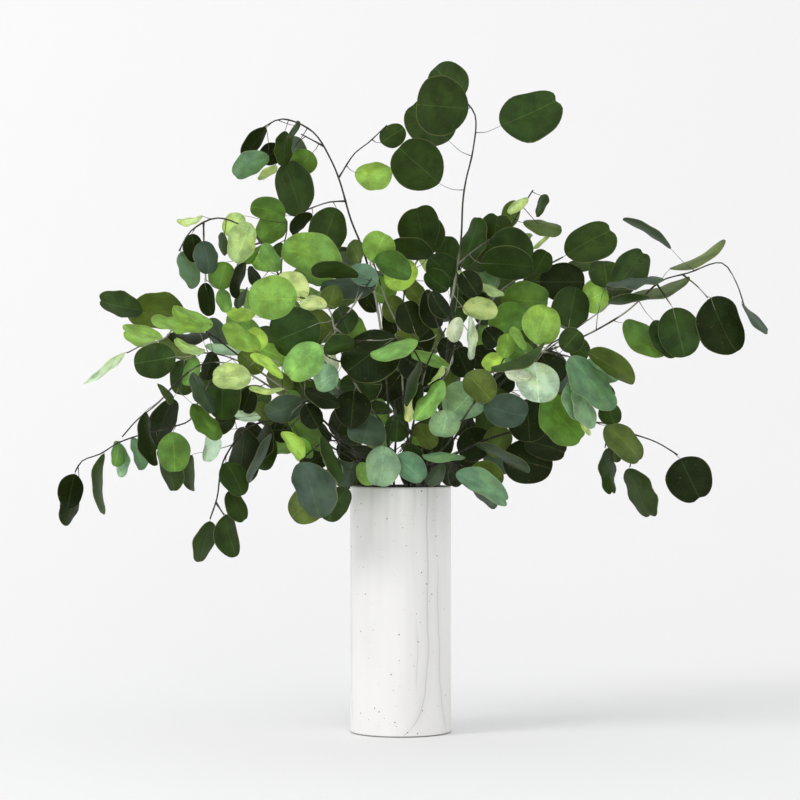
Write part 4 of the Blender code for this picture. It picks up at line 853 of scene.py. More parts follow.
def hidden_leaf(bud, turn, name, ways, taken, fronts, draw):
    """A leaf that grows from this bud where the front view doesn't show it, or None without room."""
    ends = [(one, other) for way in ways for one, other in zip(way, way[1:])]
    one, other = min(ends, key=lambda pair: ((pair[0] + pair[1]) / 2 - bud).length)
    along = (other - one).normalized()
    for attempt in range(FILL_TRIES):
        spread = draw.uniform(*FILL_SPREADS)
        aside = Matrix.Rotation(turn + attempt * FILL_ASIDE, 3, along) @ along.orthogonal().normalized()
        out = (along * math.cos(spread) + aside * math.sin(spread)).normalized()
        foot = bud + out * draw.uniform(*FILL_STALKS)
        length = draw.uniform(*FILL_LENGTHS)
        tip = foot + (out - Vector((0, 0, draw.uniform(0, FILL_DROP)))).normalized() * length
        leaf = leaf_from(foot, tip, length * LEAF_BREADTH, bud, draw.uniform(*CUPS), draw.uniform(*BOWS))
        level = leaf["along"].cross(Vector((0, 0, 1)) + out * 0.6).normalized()
        leaf["across"] = Matrix.Rotation(draw.uniform(-FILL_ROLL, FILL_ROLL), 3, leaf["along"]) @ level
        if covered(leaf, fronts) and taken.hit(leaf, name) is None:
            return leaf
    return None


def lies_behind(leaf, fronts):
    """Whether a leaf shows behind every leaf that it meets in the front view."""
    spots = [leaf_point(leaf, t, s) for t, s in HIDE_SPOTS]
    return all(back <= spot.y - INNER_DROP for spot in spots for back in depths_over(spot, fronts))


def inner_leaf(row, laid, taken, fronts, draw):
    """The inner leaf that shows like this row, and the nearest branch that has room for it."""
    middle = seen((row[0] + row[2]) / 2, (row[1] + row[3]) / 2, 0)

    def away(name):
        return min((bud.x - middle.x) ** 2 + (bud.z - middle.z) ** 2 for bud in laid[name]["free"])

    names = sorted((name for name in laid if laid[name]["free"]), key=away)[:INNER_BRANCHES]
    state = draw.getstate()
    for name in names:
        branch = laid[name]
        wood = buds(branch["ways"])
        for back in INNER_BACKS:
            for pick in ROOT_PICKS:
                draw.setstate(state)
                leaf = read_leaf(row, wood, branch["free"], draw, False, back, pick)
                stalk = (leaf["foot"] - leaf["root"]).length
                if stalk < INNER_STALK and lies_behind(leaf, fronts) and taken.hit(leaf, name) is None:
                    return leaf, name
    return None, None


def add_inner_leaves(laid, taken, fronts):
    """Adds the small inner leaves that find room, each behind every leaf that it meets in the front view."""
    for number, (*row, look) in enumerate(INNER):
        draw = random.Random(f"{LOOKS_SEED} {number}")
        leaf, name = inner_leaf((*row, 0), laid, taken, fronts, draw)
        if leaf:
            leaf["look"] = look
            taken.add(name, *thick_blade(leaf, LEAF_ROOM))
            laid[name]["leaves"].append(leaf)
            laid[name]["free"].remove(leaf["root"])


def laid_out():
    """Every branch with its ways and leaves: those that were read, then those that fill the back."""
    greens = random.Random(LOOKS_SEED)
    taken = Taken()
    taken.add("vase", *vase_room())
    laid = {}
    fronts = []
    for name, (ring, bearing, thick, route, twigs, _) in BRANCHES.items():
        ways = [stem_way(ring, bearing, route)]
        for twig in twigs:
            ways.append(twig_way(twig, ways))
        free = [bud for bud in buds(ways) if all((bud - way[0]).length > TWIG_ROOM for way in ways)]
        laid[name] = {"thick": thick * MM, "ways": ways, "free": free, "leaves": []}
        for k, way in enumerate(ways):
            shape = thick_way(way[1:] if k == 0 else way, TWIG_ROOM if k else STEM_ROOM)
            taken.add(name + WOOD, *shape)
    for name, (*_, rows) in BRANCHES.items():
        for number, (row, look) in enumerate(zip(rows, LOOKS.get(name, ""))):
            draw = random.Random(f"{SEED} {name} {number}")
            leaf = first_clear(row, name, laid[name], taken, draw)
            if leaf is None:
                continue
            leaf["look"] = look
            taken.add(name, *thick_blade(leaf, LEAF_ROOM))
            laid[name]["leaves"].append(leaf)
            laid[name]["free"].remove(leaf["root"])
            fronts.append(front_of(row, leaf))
    for name in FILLED:
        draw = random.Random(f"{SEED} {name}")
        turn = 0
        for bud in laid[name]["free"][::FILLED[name]]:
            turn += FILL_TURN
            leaf = hidden_leaf(bud, turn, name, laid[name]["ways"], taken, fronts, draw)
            if leaf:
                leaf["look"] = greens.choice(BACK_GREENS)
                taken.add(name, *thick_blade(leaf, LEAF_ROOM))
                laid[name]["leaves"].append(leaf)
    add_inner_leaves(laid, taken, fronts)
    return laid


def linear(colour):
    """An sRGB hex colour as linear red, green, blue and 1."""
    parts = [int(colour[k:k + 2], 16) / 255 for k in (1, 3, 5)]
    return (*[c / 12.92 if c <= 0.04045 else ((c + 0.055) / 1.055) ** 2.4 for c in parts], 1)


def add(tree, kind, inputs=(), give=0, **settings):
    """Adds a shader node with its settings, and gives one of its outputs.

    Its inputs, by name or in order, are joined to the sockets given or set to the values given.
    """
    node = tree.nodes.new("ShaderNode" + kind)
    for name, value in settings.items():
        setattr(node, name, value)
    for key, value in inputs.items() if isinstance(inputs, dict) else enumerate(inputs):
        if isinstance(value, bpy.types.NodeSocket):
            tree.links.new(value, node.inputs[key])
        else:
            node.inputs[key].default_value = value
    return node.outputs[give]


def new_material(name):
    """A material with only its output left, and its node tree."""
    material = bpy.data.materials.new(name)
    material.use_nodes = True
    tree = material.node_tree
    for node in list(tree.nodes):
        if node.type != "OUTPUT_MATERIAL":
            tree.nodes.remove(node)
    return material, tree


def show(tree, surface):
    """Joins a surface to the material's output."""
    output = next(node for node in tree.nodes if node.type == "OUTPUT_MATERIAL")
    tree.links.new(surface, output.inputs["Surface"])


def leaf_blade_material():
    """A fresh eucalyptus leaf: leathery and matt, with a waxy bluish bloom, pale ribs and a thin pale margin.

    Its colour, bloom and how much light it lets through come from the leaf, with painted light in the palest
    colours and painted shade in the darkest. Its veins are drawn in mm.
    """
    material, tree = new_material("eucalyptus_leaf_waxy")
    place = add(tree, "TexCoord", give="Object")
    tint = add(tree, "Attribute", give="Color", attribute_name="tint")
    bloom = add(tree, "Attribute", give="Fac", attribute_name="bloom")
    glow = add(tree, "Attribute", give="Fac", attribute_name="glow")
    edge = add(tree, "Attribute", give="Fac", attribute_name="edge")
    flat = add(tree, "SeparateXYZ", [add(tree, "UVMap", uv_map="blade")]).node.outputs
    across = add(tree, "Math", [flat["X"], 0.5], operation="SUBTRACT")
    across = add(tree, "Math", [across, UV_SPAN / MM], **TIMES)
    along = add(tree, "Math", [flat["Y"], UV_SPAN / MM], **TIMES)
    aside = add(tree, "Math", [across], operation="ABSOLUTE")
    rib = add(tree, "MapRange", [aside, 0.25, 0.8, 1.0, 0.0], **SMOOTH)
    # Side veins 5 mm apart leave the rib at about 55 degrees, by turns left and right, and wander a little
    wander = add(tree, "TexNoise", {"Vector": place, "Scale": 1 / (9 * MM)})
    wander = add(tree, "Math", [wander, 0.5], operation="SUBTRACT")
    wander = add(tree, "Math", [wander, 3.2], **TIMES)
    turn = add(tree, "Math", [across, 0.0], operation="GREATER_THAN")
    turn = add(tree, "Math", [turn, VEIN_APART / 2], **TIMES)
    climb = add(tree, "Math", [aside, -0.72, along], operation="MULTIPLY_ADD")
    climb = add(tree, "Math", [climb, add(tree, "Math", [wander, turn], **PLUS)], **PLUS)
    to_vein = add(tree, "Math", [climb, VEIN_APART / 2], operation="PINGPONG")
    side_veins = add(tree, "MapRange", [to_vein, 0.1, 0.5, 1.0, 0.0], **SMOOTH)
    fading = add(tree, "MapRange", [edge, 0.75, 0.97, 1.0, 0.2], **SMOOTH)
    side_veins = add(tree, "Math", [side_veins, fading], **TIMES)
    # A net of small veins, 2 mm from mesh to mesh
    plane = add(tree, "CombineXYZ", [across, along, wander])
    net = add(tree, "TexVoronoi", {"Vector": plane, "Scale": 1 / 2}, "Distance", feature="DISTANCE_TO_EDGE")
    net = add(tree, "MapRange", [net, 0.02, 0.12, 1.0, 0.0], **SMOOTH)
    side_veins = add(tree, "Math", [side_veins, 0.24], **TIMES)
    veins = add(tree, "Math", [rib, side_veins], operation="MAXIMUM")
    net = add(tree, "Math", [net, 0.12], **TIMES)
    veins = add(tree, "Math", [veins, net], operation="MAXIMUM")
    # Lighter and darker patches 14 mm across, a fine grain, and painted shade that darkens the blade towards
    # its rim and lightens its middle
    patches = add(tree, "TexNoise", {"Vector": place, "Scale": 1 / (14 * MM), "Detail": 3.0})
    grain = add(tree, "TexNoise", {"Vector": place, "Scale": 1 / (1.6 * MM), "Detail": 1.0})
    shade = add(tree, "Math", [
        add(tree, "MapRange", [patches, 0.3, 0.7, 0.68, 1.32], **SMOOTH),
        add(tree, "MapRange", [grain, 0.3, 0.7, -0.07, 0.07], **SMOOTH),
    ], **PLUS)
    painted_rim_shade = add(tree, "MapRange", [edge, 0.1, 0.95, 1.10, 0.86], **SMOOTH)
    shade = add(tree, "Math", [shade, painted_rim_shade], **TIMES)
    shade = add(tree, "CombineXYZ", [shade, shade, shade])
    body = add(tree, "Mix", {0: 1.0, 6: tint, 7: shade}, **TINTED)
    warmth = add(tree, "TexNoise", {"Vector": place, "Scale": 1 / (30 * MM)})
    warmth = add(tree, "MapRange", [warmth, 0.42, 0.72], **SMOOTH)
    body = add(tree, "Mix", {0: warmth, 6: body, 7: (1.14, 1.06, 0.78, 1)}, **TINTED)
    pale_rib = add(tree, "Mix", {0: 1.0, 6: body, 7: (1.5, 1.45, 1.35, 1)}, **TINTED)
    pale_rib = add(tree, "Mix", {0: 0.05, 6: pale_rib, 7: linear("#b3c98a")}, **MIXED)
    veined = add(tree, "Mix", {0: veins, 6: body, 7: pale_rib}, **MIXED)
    # The bloom lies thicker in places, and the margin is a thin pale line
    wax = add(tree, "TexNoise", {"Vector": place, "Scale": 1 / (22 * MM)})
    wax = add(tree, "MapRange", [wax, 0.25, 0.7, 0.35, 1.0], **SMOOTH)
    wax = add(tree, "Math", [bloom, wax], **TIMES)
    waxed = add(tree, "Mix", {0: wax, 6: veined, 7: linear("#a3bfb4")}, **MIXED)
    margin = add(tree, "MapRange", [edge, 0.95, 0.995], **SMOOTH)
    margin = add(tree, "Math", [margin, 0.22], **TIMES)
    blade = add(tree, "Mix", {0: margin, 6: waxed, 7: linear("#b4b679")}, **MIXED)
    spots = add(tree, "TexNoise", {"Vector": place, "Scale": 1 / (3.2 * MM), "Detail": 0.0})
    spots = add(tree, "MapRange", [spots, 0.77, 0.80, 0.0, 0.3], **SMOOTH)
    blade = add(tree, "Mix", {0: spots, 6: blade, 7: linear("#6b5a30")}, **MIXED)
    # Light that comes through is yellower, and dimmer at the veins
    lit = add(tree, "Mix", {0: 0.55, 6: blade, 7: linear("#b7d646")}, **MIXED)
    shadowed = add(tree, "Math", [veins, 0.4], **TIMES)
    lit = add(tree, "Mix", {0: shadowed, 6: lit, 7: linear("#5c7f2a")}, **MIXED)
    raised = add(tree, "Math", [veins, 0.6], **TIMES)
    height = add(tree, "Math", [raised, add(tree, "Math", [patches, 0.5], **TIMES)], **PLUS)
    relief = add(tree, "Bump", {"Height": height, "Strength": 0.22, "Distance": 0.0005})
    skin = add(tree, "BsdfPrincipled", {
        "Base Color": blade,
        "Roughness": add(tree, "MapRange", [grain, 0.2, 0.8, 0.42, 0.58], **SMOOTH),
        "Normal": relief,
        "IOR": 1.45,
        "Specular IOR Level": 0.12,
    })
    through = add(tree, "BsdfTranslucent", {"Color": lit, "Normal": relief})
    whole = add(tree, "MixShader", [glow, skin, through])
    # Light inside the thin blade goes straight on, so that its two faces scatter it only once
    inside = add(tree, "NewGeometry", give="Backfacing")
    show(tree, add(tree, "MixShader", [inside, whole, add(tree, "BsdfTransparent")]))
    return material


def bark_material(name, young, old, speck):
    """Smooth eucalyptus bark: fine streaks along the stem, a greener top and small pale breathing pores."""
    material, tree = new_material(name)
    place = add(tree, "TexCoord", give="Object")
    height = add(tree, "SeparateXYZ", [place], "Z")
    drawn_out = add(tree, "Mapping", {"Vector": place, "Scale": (1, 1, 0.12)})
    streaks = add(tree, "TexNoise", {"Vector": drawn_out, "Scale": 1 / (1.2 * MM), "Detail": 3.0})
    patches = add(tree, "TexNoise", {"Vector": place, "Scale": 1 / (16 * MM)})
    aged = add(tree, "MapRange", [height, 0.28, 0.52, 0.25, -0.2], **SMOOTH)
    aged = add(tree, "Math", [aged, patches], use_clamp=True, **PLUS)
    colour = add(tree, "Mix", {0: aged, 6: linear(young), 7: linear(old)}, **MIXED)
    dark = add(tree, "MapRange", [streaks, 0.35, 0.7, 0.0, 0.35], **SMOOTH)
    colour = add(tree, "Mix", {0: dark, 6: colour, 7: linear("#1d1b17")}, **MIXED)
    # A pale band between these heights, where the branches part, is partly a whitish bloom on the wood and
    # partly painted light for the stems that stand lit above the vase
    above = add(tree, "MapRange", [height, 0.30, 0.36], **SMOOTH)
    below = add(tree, "MapRange", [height, 0.44, 0.50, 1.0, 0.0], **SMOOTH)
    bloom = add(tree, "Math", [above, below], **TIMES)
    left = add(tree, "TexNoise", {"Vector": place, "Scale": 1 / (24 * MM), "Detail": 1.0})
    left = add(tree, "MapRange", [left, 0.44, 0.58, 0.0, 0.6], **SMOOTH)
    bloom = add(tree, "Math", [bloom, left], **TIMES)
    colour = add(tree, "Mix", {0: bloom, 6: colour, 7: linear("#c9c8b8")}, **MIXED)
    pores = add(tree, "TexNoise", {"Vector": place, "Scale": 1 / (1.7 * MM), "Detail": 0.0})
    pores = add(tree, "MapRange", [pores, 0.68, 0.74, 0.0, 0.6], **SMOOTH)
    colour = add(tree, "Mix", {0: pores, 6: colour, 7: linear(speck)}, **MIXED)
    relief = add(tree, "Bump", {"Height": streaks, "Strength": 0.4, "Distance": 0.0004})
    show(tree, add(tree, "BsdfPrincipled", {
        "Base Color": colour, "Roughness": 0.62, "Normal": relief, "Specular IOR Level": 0.2,
    }))
    return material


def glaze_material():
    """Speckled stoneware under a satin off-white glaze: soft grey runs, thin grey crazes and iron specks."""
    material, tree = new_material("stoneware_satin_glaze")
    place = add(tree, "TexCoord", give="Object")
    parts = add(tree, "SeparateXYZ", [place]).node.outputs
    height = parts["Z"]
    # How far round the wall a point is, in millimetres from the front
    to_front = add(tree, "Math", [parts["Y"], -1.0], **TIMES)
    bearing = add(tree, "Math", [parts["X"], to_front], operation="ARCTAN2")
    round_mm = add(tree, "Math", [bearing, VASE_ACROSS / 2 / MM], **TIMES)
    drawn_out = add(tree, "Mapping", {"Vector": place, "Scale": (1, 1, 0.07)})
    runs = add(tree, "TexNoise", {"Vector": drawn_out, "Scale": 1 / (9 * MM), "Roughness": 0.45})
    drawn_out = add(tree, "Mapping", {"Vector": place, "Scale": (1, 1, 0.25)})
    broad = add(tree, "TexNoise", {"Vector": drawn_out, "Scale": 1 / (34 * MM)})
    high = add(tree, "MapRange", [height, 0.05, VASE_HIGH, 0.35, 1.0], **SMOOTH)
    high = add(tree, "Math", [high, 0.12], **TIMES)
    run_share = add(tree, "MapRange", [runs, 0.47, 0.72], **SMOOTH)
    run_share = add(tree, "Math", [run_share, high], **TIMES)
    broad = add(tree, "MapRange", [broad, 0.3, 0.7, 0.0, 0.6], **SMOOTH)
    colour = add(tree, "Mix", {0: broad, 6: linear("#f5f4f3"), 7: linear("#ebeae8")}, **MIXED)
    colour = add(tree, "Mix", {0: run_share, 6: colour, 7: linear("#cfccc6")}, **MIXED)
    upright = add(tree, "Mapping", {"Vector": place, "Scale": (0, 0, 1)})
    drift = add(tree, "TexNoise", {"Vector": upright, "Scale": 1 / (60 * MM)})
    drift = add(tree, "Math", [drift, 0.5], operation="SUBTRACT")
    drift = add(tree, "Math", [drift, 9.0], **TIMES)
    crazes = 0.0
    for at, low, top, lean, reach, wide in CRAZES:
        # A craze hangs straight and swings aside near the foot
        swing = add(tree, "Math", [height, -reach], operation="DIVIDE")
        swing = add(tree, "Math", [swing], operation="EXPONENT")
        swing = add(tree, "Math", [swing, lean], **TIMES)
        off = add(tree, "Math", [
            add(tree, "Math", [round_mm, drift], **PLUS),
            add(tree, "Math", [swing, at], **PLUS),
        ], operation="SUBTRACT")
        off = add(tree, "Math", [off], operation="ABSOLUTE")
        line = add(tree, "MapRange", [off, 0.15 * wide, 0.9 * wide, 1.0, 0.0], **SMOOTH)
        halo = add(tree, "MapRange", [off, 0.0, 6.0 * wide, 0.25, 0.0], **SMOOTH)
        foot_end = add(tree, "MapRange", [height, low - 0.01, low + 0.02], **SMOOTH)
        top_end = add(tree, "MapRange", [height, top - 0.05, top, 1.0, 0.0], **SMOOTH)
        length = add(tree, "Math", [foot_end, top_end], **TIMES)
        shown = add(tree, "Math", [line, halo], operation="MAXIMUM")
        shown = add(tree, "Math", [shown, length], **TIMES)
        crazes = add(tree, "Math", [shown, crazes], operation="MAXIMUM")
    crazes = add(tree, "Math", [crazes, 0.34], **TIMES)
    colour = add(tree, "Mix", {0: crazes, 6: colour, 7: linear("#9b9997")}, **MIXED)
    for at, wide, low in RUNS:
        off = add(tree, "Math", [drift, 0.6, round_mm], operation="MULTIPLY_ADD")
        off = add(tree, "Math", [off, at], operation="SUBTRACT")
        off = add(tree, "Math", [off], operation="ABSOLUTE")
        run = add(tree, "Math", [
            add(tree, "MapRange", [off, 0.0, wide, 1.0, 0.0], **SMOOTH),
            add(tree, "MapRange", [height, low, VASE_HIGH], **SMOOTH),
        ], **TIMES)
        run = add(tree, "Math", [run, 0.20], **TIMES)
        colour = add(tree, "Mix", {0: run, 6: colour, 7: linear("#bdbbb7")}, **MIXED)
    up_mm = add(tree, "Math", [height, MM], operation="DIVIDE")
    wall_place = add(tree, "CombineXYZ", [round_mm, up_mm])
    for size, reach, kept, dark in SPECKS:
        where = {"Vector": wall_place, "Scale": 1 / size}
        cells = add(tree, "TexVoronoi", where, voronoi_dimensions="2D").node.outputs
        chance = add(tree, "SeparateColor", [cells["Color"]], 2)
        dot = add(tree, "MapRange", [cells["Distance"], reach * 0.6, reach, 1.0, 0.0], **SMOOTH)
        chance = add(tree, "Math", [chance, kept], operation="GREATER_THAN")
        dot = add(tree, "Math", [dot, chance], **TIMES)
        dot = add(tree, "Math", [dot, 0.95], **TIMES)
        colour = add(tree, "Mix", {0: dot, 6: colour, 7: linear(dark)}, **MIXED)
    # Painted shade: the glaze is dark inside the wall, for the shade that the leaves cast into the mouth
    level = add(tree, "Mapping", {"Vector": place, "Scale": (1, 1, 0)})
    out = add(tree, "VectorMath", [level], "Value", operation="LENGTH")
    inner = [VASE_ACROSS / 2 - VASE_WALL * 0.8, VASE_ACROSS / 2 - VASE_WALL * 0.5]
    painted_inside_shade = add(tree, "MapRange", [out, *inner, 1.0, 0.0], **SMOOTH)
    colour = add(tree, "Mix", {0: painted_inside_shade, 6: colour, 7: linear("#34322e")}, **MIXED)
    # Painted shade: a dark band up the very foot, for the thin dark line where the vase meets the floor
    bare = add(tree, "MapRange", [height, FOOT_SHADE_HIGH / 2, FOOT_SHADE_HIGH, 0.8, 0.0], **SMOOTH)
    colour = add(tree, "Mix", {0: bare, 6: colour, 7: linear("#4c4a47")}, **MIXED)
    waves = add(tree, "TexNoise", {"Vector": place, "Scale": 1 / (26 * MM), "Detail": 1.0})
    relief = add(tree, "Bump", {"Height": waves, "Strength": 0.25, "Distance": 0.0012})
    show(tree, add(tree, "BsdfPrincipled", {
        "Base Color": colour,
        "Roughness": add(tree, "MapRange", [runs, 0.3, 0.7, 0.30, 0.42], **SMOOTH),
        "Normal": relief,
        "Coat Weight": 0.25,
        "Coat Roughness": 0.2,
        "IOR": 1.5,
    }))
    return material


def water_material():
    """Still water: clear, and faintly green from the stems."""
    material, tree = new_material("water_clear")
    place = add(tree, "TexCoord", give="Object")
    ripples = add(tree, "TexNoise", {"Vector": place, "Scale": 1 / (18 * MM), "Detail": 1.0})
    relief = add(tree, "Bump", {"Height": ripples, "Strength": 0.1, "Distance": 0.0005})
    show(tree, add(tree, "BsdfPrincipled", {
        "Base Color": linear("#dfe9e2"),
        "Roughness": 0.02,
        "IOR": 1.33,
        "Transmission Weight": 1.0,
        "Normal": relief,
    }))
    return material


def deselect():
    """Leaves no object selected, as an operator acts on all that is."""
    for thing in bpy.context.selected_objects:
        thing.select_set(False)


def only(thing):
    """Makes this the one selected object, and the active one."""
    deselect()
    thing.select_set(True)
    bpy.context.view_layer.objects.active = thing


def finish_piece(thing, name, slot, *nodes):
    """Names a piece, and says what it rides on and which solids it stands for. Its slot, the finish, is not
    used.
    """
    thing.name = name
    thing.data.name = name
    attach(thing, "root")
    if nodes:
        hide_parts(*nodes)
    return thing


def flat_leaf():
    """A blade laid flat, from a grid whose two ends are drawn to points: its places and its faces.

    A place is t along the blade and s across it.
    """
    deselect()
    bpy.ops.mesh.primitive_grid_add(
        x_subdivisions=BLADE_LONG, y_subdivisions=BLADE_WIDE, size=2, location=(0, 0, 0))
    blade = bpy.context.object
    for end in (-1, 1):
        bpy.ops.object.mode_set(mode="EDIT")
        bpy.ops.mesh.select_all(action="DESELECT")
        bpy.ops.object.mode_set(mode="OBJECT")
        for spot in blade.data.vertices:
            spot.select = abs(spot.co.x - end) < 1e-4
        bpy.ops.object.mode_set(mode="EDIT")
        bpy.ops.mesh.select_mode(type="VERT")
        bpy.ops.mesh.merge(type="CENTER")
    bpy.ops.object.mode_set(mode="OBJECT")
    places = [((1 - math.cos(math.pi * (spot.co.x + 1) / 2)) / 2, spot.co.y) for spot in blade.data.vertices]
    faces = [tuple(face.vertices) for face in blade.data.polygons]
    bpy.data.objects.remove(blade, do_unlink=True)
    return places, faces


def own_form(draw, letter):
    """How this one leaf differs from the plain blade: its outline, its waves, its fold and its curl."""
    form = {trait: draw.uniform(*reach) for trait, reach in FORM_LOOSE.items()}
    form["notch"] = draw.uniform(*NOTCH_DEEP) if letter.isupper() else draw.choice(NOTCH_SLIGHT)
    return form


def blade_place(leaf, form, t, s):
    """A finished blade's point at t along and s across, and how far across and along it lies, in metres."""
    turn = math.acos(max(-1, min(1, 1 - 2 * t)))
    power = form["base"] + (form["tip"] - form["base"]) * t * t * (3 - 2 * t)
    wide = math.sin(turn) ** power * (1 + form["oval"] * math.cos(turn)) if 0 < t < 1 else 0
    wide *= 1 + form["lop"] * math.copysign(1, s)
    across = s * wide
    near_tip = max(0.0, (t - TIP_FROM) / (1 - TIP_FROM))
    along = t - form["notch"] * near_tip * near_tip * math.exp(-(across / 0.2) ** 2)
    half = leaf["breadth"] / 2
    flat = leaf_point(leaf, along, across)
    face = leaf["across"].cross(leaf["along"])
    edge = abs(across) ** 2
    swell = math.sin(math.tau * form["waves"] * t + form["phase"] + (s > 0) * 1.9)
    wave = form["wave"] * leaf["breadth"] * edge * swell
    lift = form["fold"] * half * abs(across) + form["curl"] * leaf["length"] * near_tip ** 2
    lift += form["twist"] * (t - 0.4) * across * half + wave
    return flat + face * lift, across * half, along * leaf["length"]


def fitted(leaf, places):
    """Draws a leaf a little smaller where its finer outline would pass the box of the solids."""
    low = [side + BOX_ROOM for side in cad_box[0]]
    high = [side - BOX_ROOM for side in cad_box[1]]
    while True:
        spots = [blade_place(leaf, leaf["form"], t, s)[0] for t, s in places]
        if all(low[k] < spot[k] < high[k] for spot in spots for k in range(3)):
            return
        leaf["length"] *= BOX_SHRINK
        leaf["breadth"] *= BOX_SHRINK


def blades(name, leaves, pattern, draw):
    """One branch's blades as thin closed shells, each a bent copy of the flat leaf in its own green."""
    places, faces = pattern
    mesh = bpy.data.meshes.new(name)
    points = []
    flats = []
    edges = []
    tints = []
    blooms = []
    glows = []
    shell = []
    for leaf in leaves:
        fitted(leaf, places)
        start = len(points)
        # Painted light and shade: the palest greens stand for leaves in the light, the darkest for leaves in
        # shade
        hex_colour, bloom, glow = GREENS_AND_PAINTED_LIGHT[leaf["look"].lower()]
        light = draw.uniform(*LIGHT_LOOSE)
        warm = draw.uniform(-WARM_LOOSE, WARM_LOOSE)
        base = linear(hex_colour)
        tint = (base[0] * light * (1 + warm), base[1] * light, base[2] * light * (1 - warm), 1)
        bloom *= draw.uniform(*BLOOM_LOOSE)
        for t, s in places:
            place, across, along = blade_place(leaf, leaf["form"], t, s)
            points.append(place)
            flats.append((0.5 + across / UV_SPAN, along / UV_SPAN))
            edges.append(max(abs(s), abs(2 * t - 1) ** 6) if 0 < t < 1 else 1)
            tints.append(tint)
            blooms.append(bloom)
            glows.append(glow)
        shell += [tuple(start + corner for corner in face) for face in faces]
    mesh.from_pydata([tuple(point) for point in points], [], shell)
    uv = mesh.uv_layers.new(name="blade")
    for loop in mesh.loops:
        uv.data[loop.index].uv = flats[loop.vertex_index]
    for attribute, values in (("edge", edges), ("bloom", blooms), ("glow", glows)):
        layer = mesh.attributes.new(attribute, "FLOAT", "POINT")
        layer.data.foreach_set("value", values)
    layer = mesh.attributes.new("tint", "FLOAT_COLOR", "POINT")
    layer.data.foreach_set("color", [part for tint in tints for part in tint])
    thing = bpy.data.objects.new(name, mesh)
    bpy.context.scene.collection.objects.link(thing)
    only(thing)
    shell = thing.modifiers.new("blade thickness", "SOLIDIFY")
    shell.thickness = BLADE_SHEET
    shell.offset = 0
    bpy.ops.object.modifier_apply(modifier=shell.name)
    bpy.ops.object.shade_smooth_by_angle(angle=math.radians(50))
    return thing


def stalk_line(leaf, form):
    """A leaf's stalk and rib as one line: from its bud in a slack curve to the blade, then along under it."""
    reach = leaf["foot"] - leaf["root"]
    face = leaf["across"].cross(leaf["along"])
    middle = leaf["root"] + reach * 0.5 - Vector((0, 0, reach.length * 0.08))
    middle -= leaf["along"] * reach.length * 0.06
    line = [leaf["root"], middle, leaf["foot"] - face * RIB_UNDER * 0.5]
    for t in RIB_SPOTS:
        place, _, _ = blade_place(leaf, form, t, 0)
        line.append(place - face * RIB_UNDER)
    return curved(line, STALK_STEP)


def tube_splines(curve, line, radii, slot):
    """Adds a line to a curve, with how thick it is at each point and which bark it takes."""
    spline = curve.splines.new("POLY")
    spline.points.add(len(line) - 1)
    spline.material_index = slot
    spline.use_smooth = True
    for spot, point, radius in zip(spline.points, line, radii):
        spot.co = (*point, 1)
        spot.radius = radius


def tapered(count, start, end):
    """Radii that go from start to end, quickest near the start."""
    return [start + (end - start) * (k / max(1, count - 1)) ** WOOD_TAPER for k in range(count)]


def knotted(line, radii, knots):
    """Radii with a slight swelling where leaves and twigs start."""
    swollen = []
    for point, radius in zip(line, radii):
        near = min([(point - knot).length for knot in knots] + [1])
        swollen.append(radius * (1 + KNOT_SWELL * math.exp(-(near / KNOT_REACH) ** 2)))
    return swollen


def on_wood(place, lines):
    """The nearest point to this place on the middle of the wood."""
    spots = []
    for line in lines:
        for one, other in zip(line, line[1:]):
            _, part = intersect_point_line(place, one, other)
            spots.append(one.lerp(other, max(0, min(1, part))))
    return min(spots, key=lambda spot: (spot - place).length)


def wood_of(name, branch, materials):
    """One branch's stem, twigs and stalks as tapering round tubes with filled ends, made one mesh."""
    deselect()
    curve = bpy.data.curves.new(name, "CURVE")
    curve.dimensions = "3D"
    curve.bevel_depth = 1.0
    curve.bevel_resolution = 1
    curve.use_fill_caps = True
    lines = []
    for way in branch["ways"]:
        lines.append(curved([on_wood(way[0], lines)] + way[1:] if lines else way, WOOD_STEP))
    for leaf in branch["leaves"]:
        leaf["root"] = on_wood(leaf["root"], lines)
    knots = [leaf["root"] for leaf in branch["leaves"]] + [line[0] for line in lines[1:]]
    for number, line in enumerate(lines):
        start, end = (TWIG_AT_ROOT, TWIG_AT_TIP) if number else (branch["thick"] / 2, STEM_AT_TIP)
        tube_splines(curve, line, knotted(line, tapered(len(line), start, end), knots), 1 if number else 0)
    for leaf in branch["leaves"]:
        line = stalk_line(leaf, leaf["form"])
        tube_splines(curve, line, tapered(len(line), STALK_AT_ROOT, RIB_AT_TIP), 2)
    thing = bpy.data.objects.new(name, curve)
    bpy.context.scene.collection.objects.link(thing)
    for material in materials:
        curve.materials.append(material)
    only(thing)
    bpy.ops.object.convert(target="MESH")
    thing = bpy.context.object
    bpy.ops.object.shade_smooth_by_angle(angle=math.radians(60))
    return thing


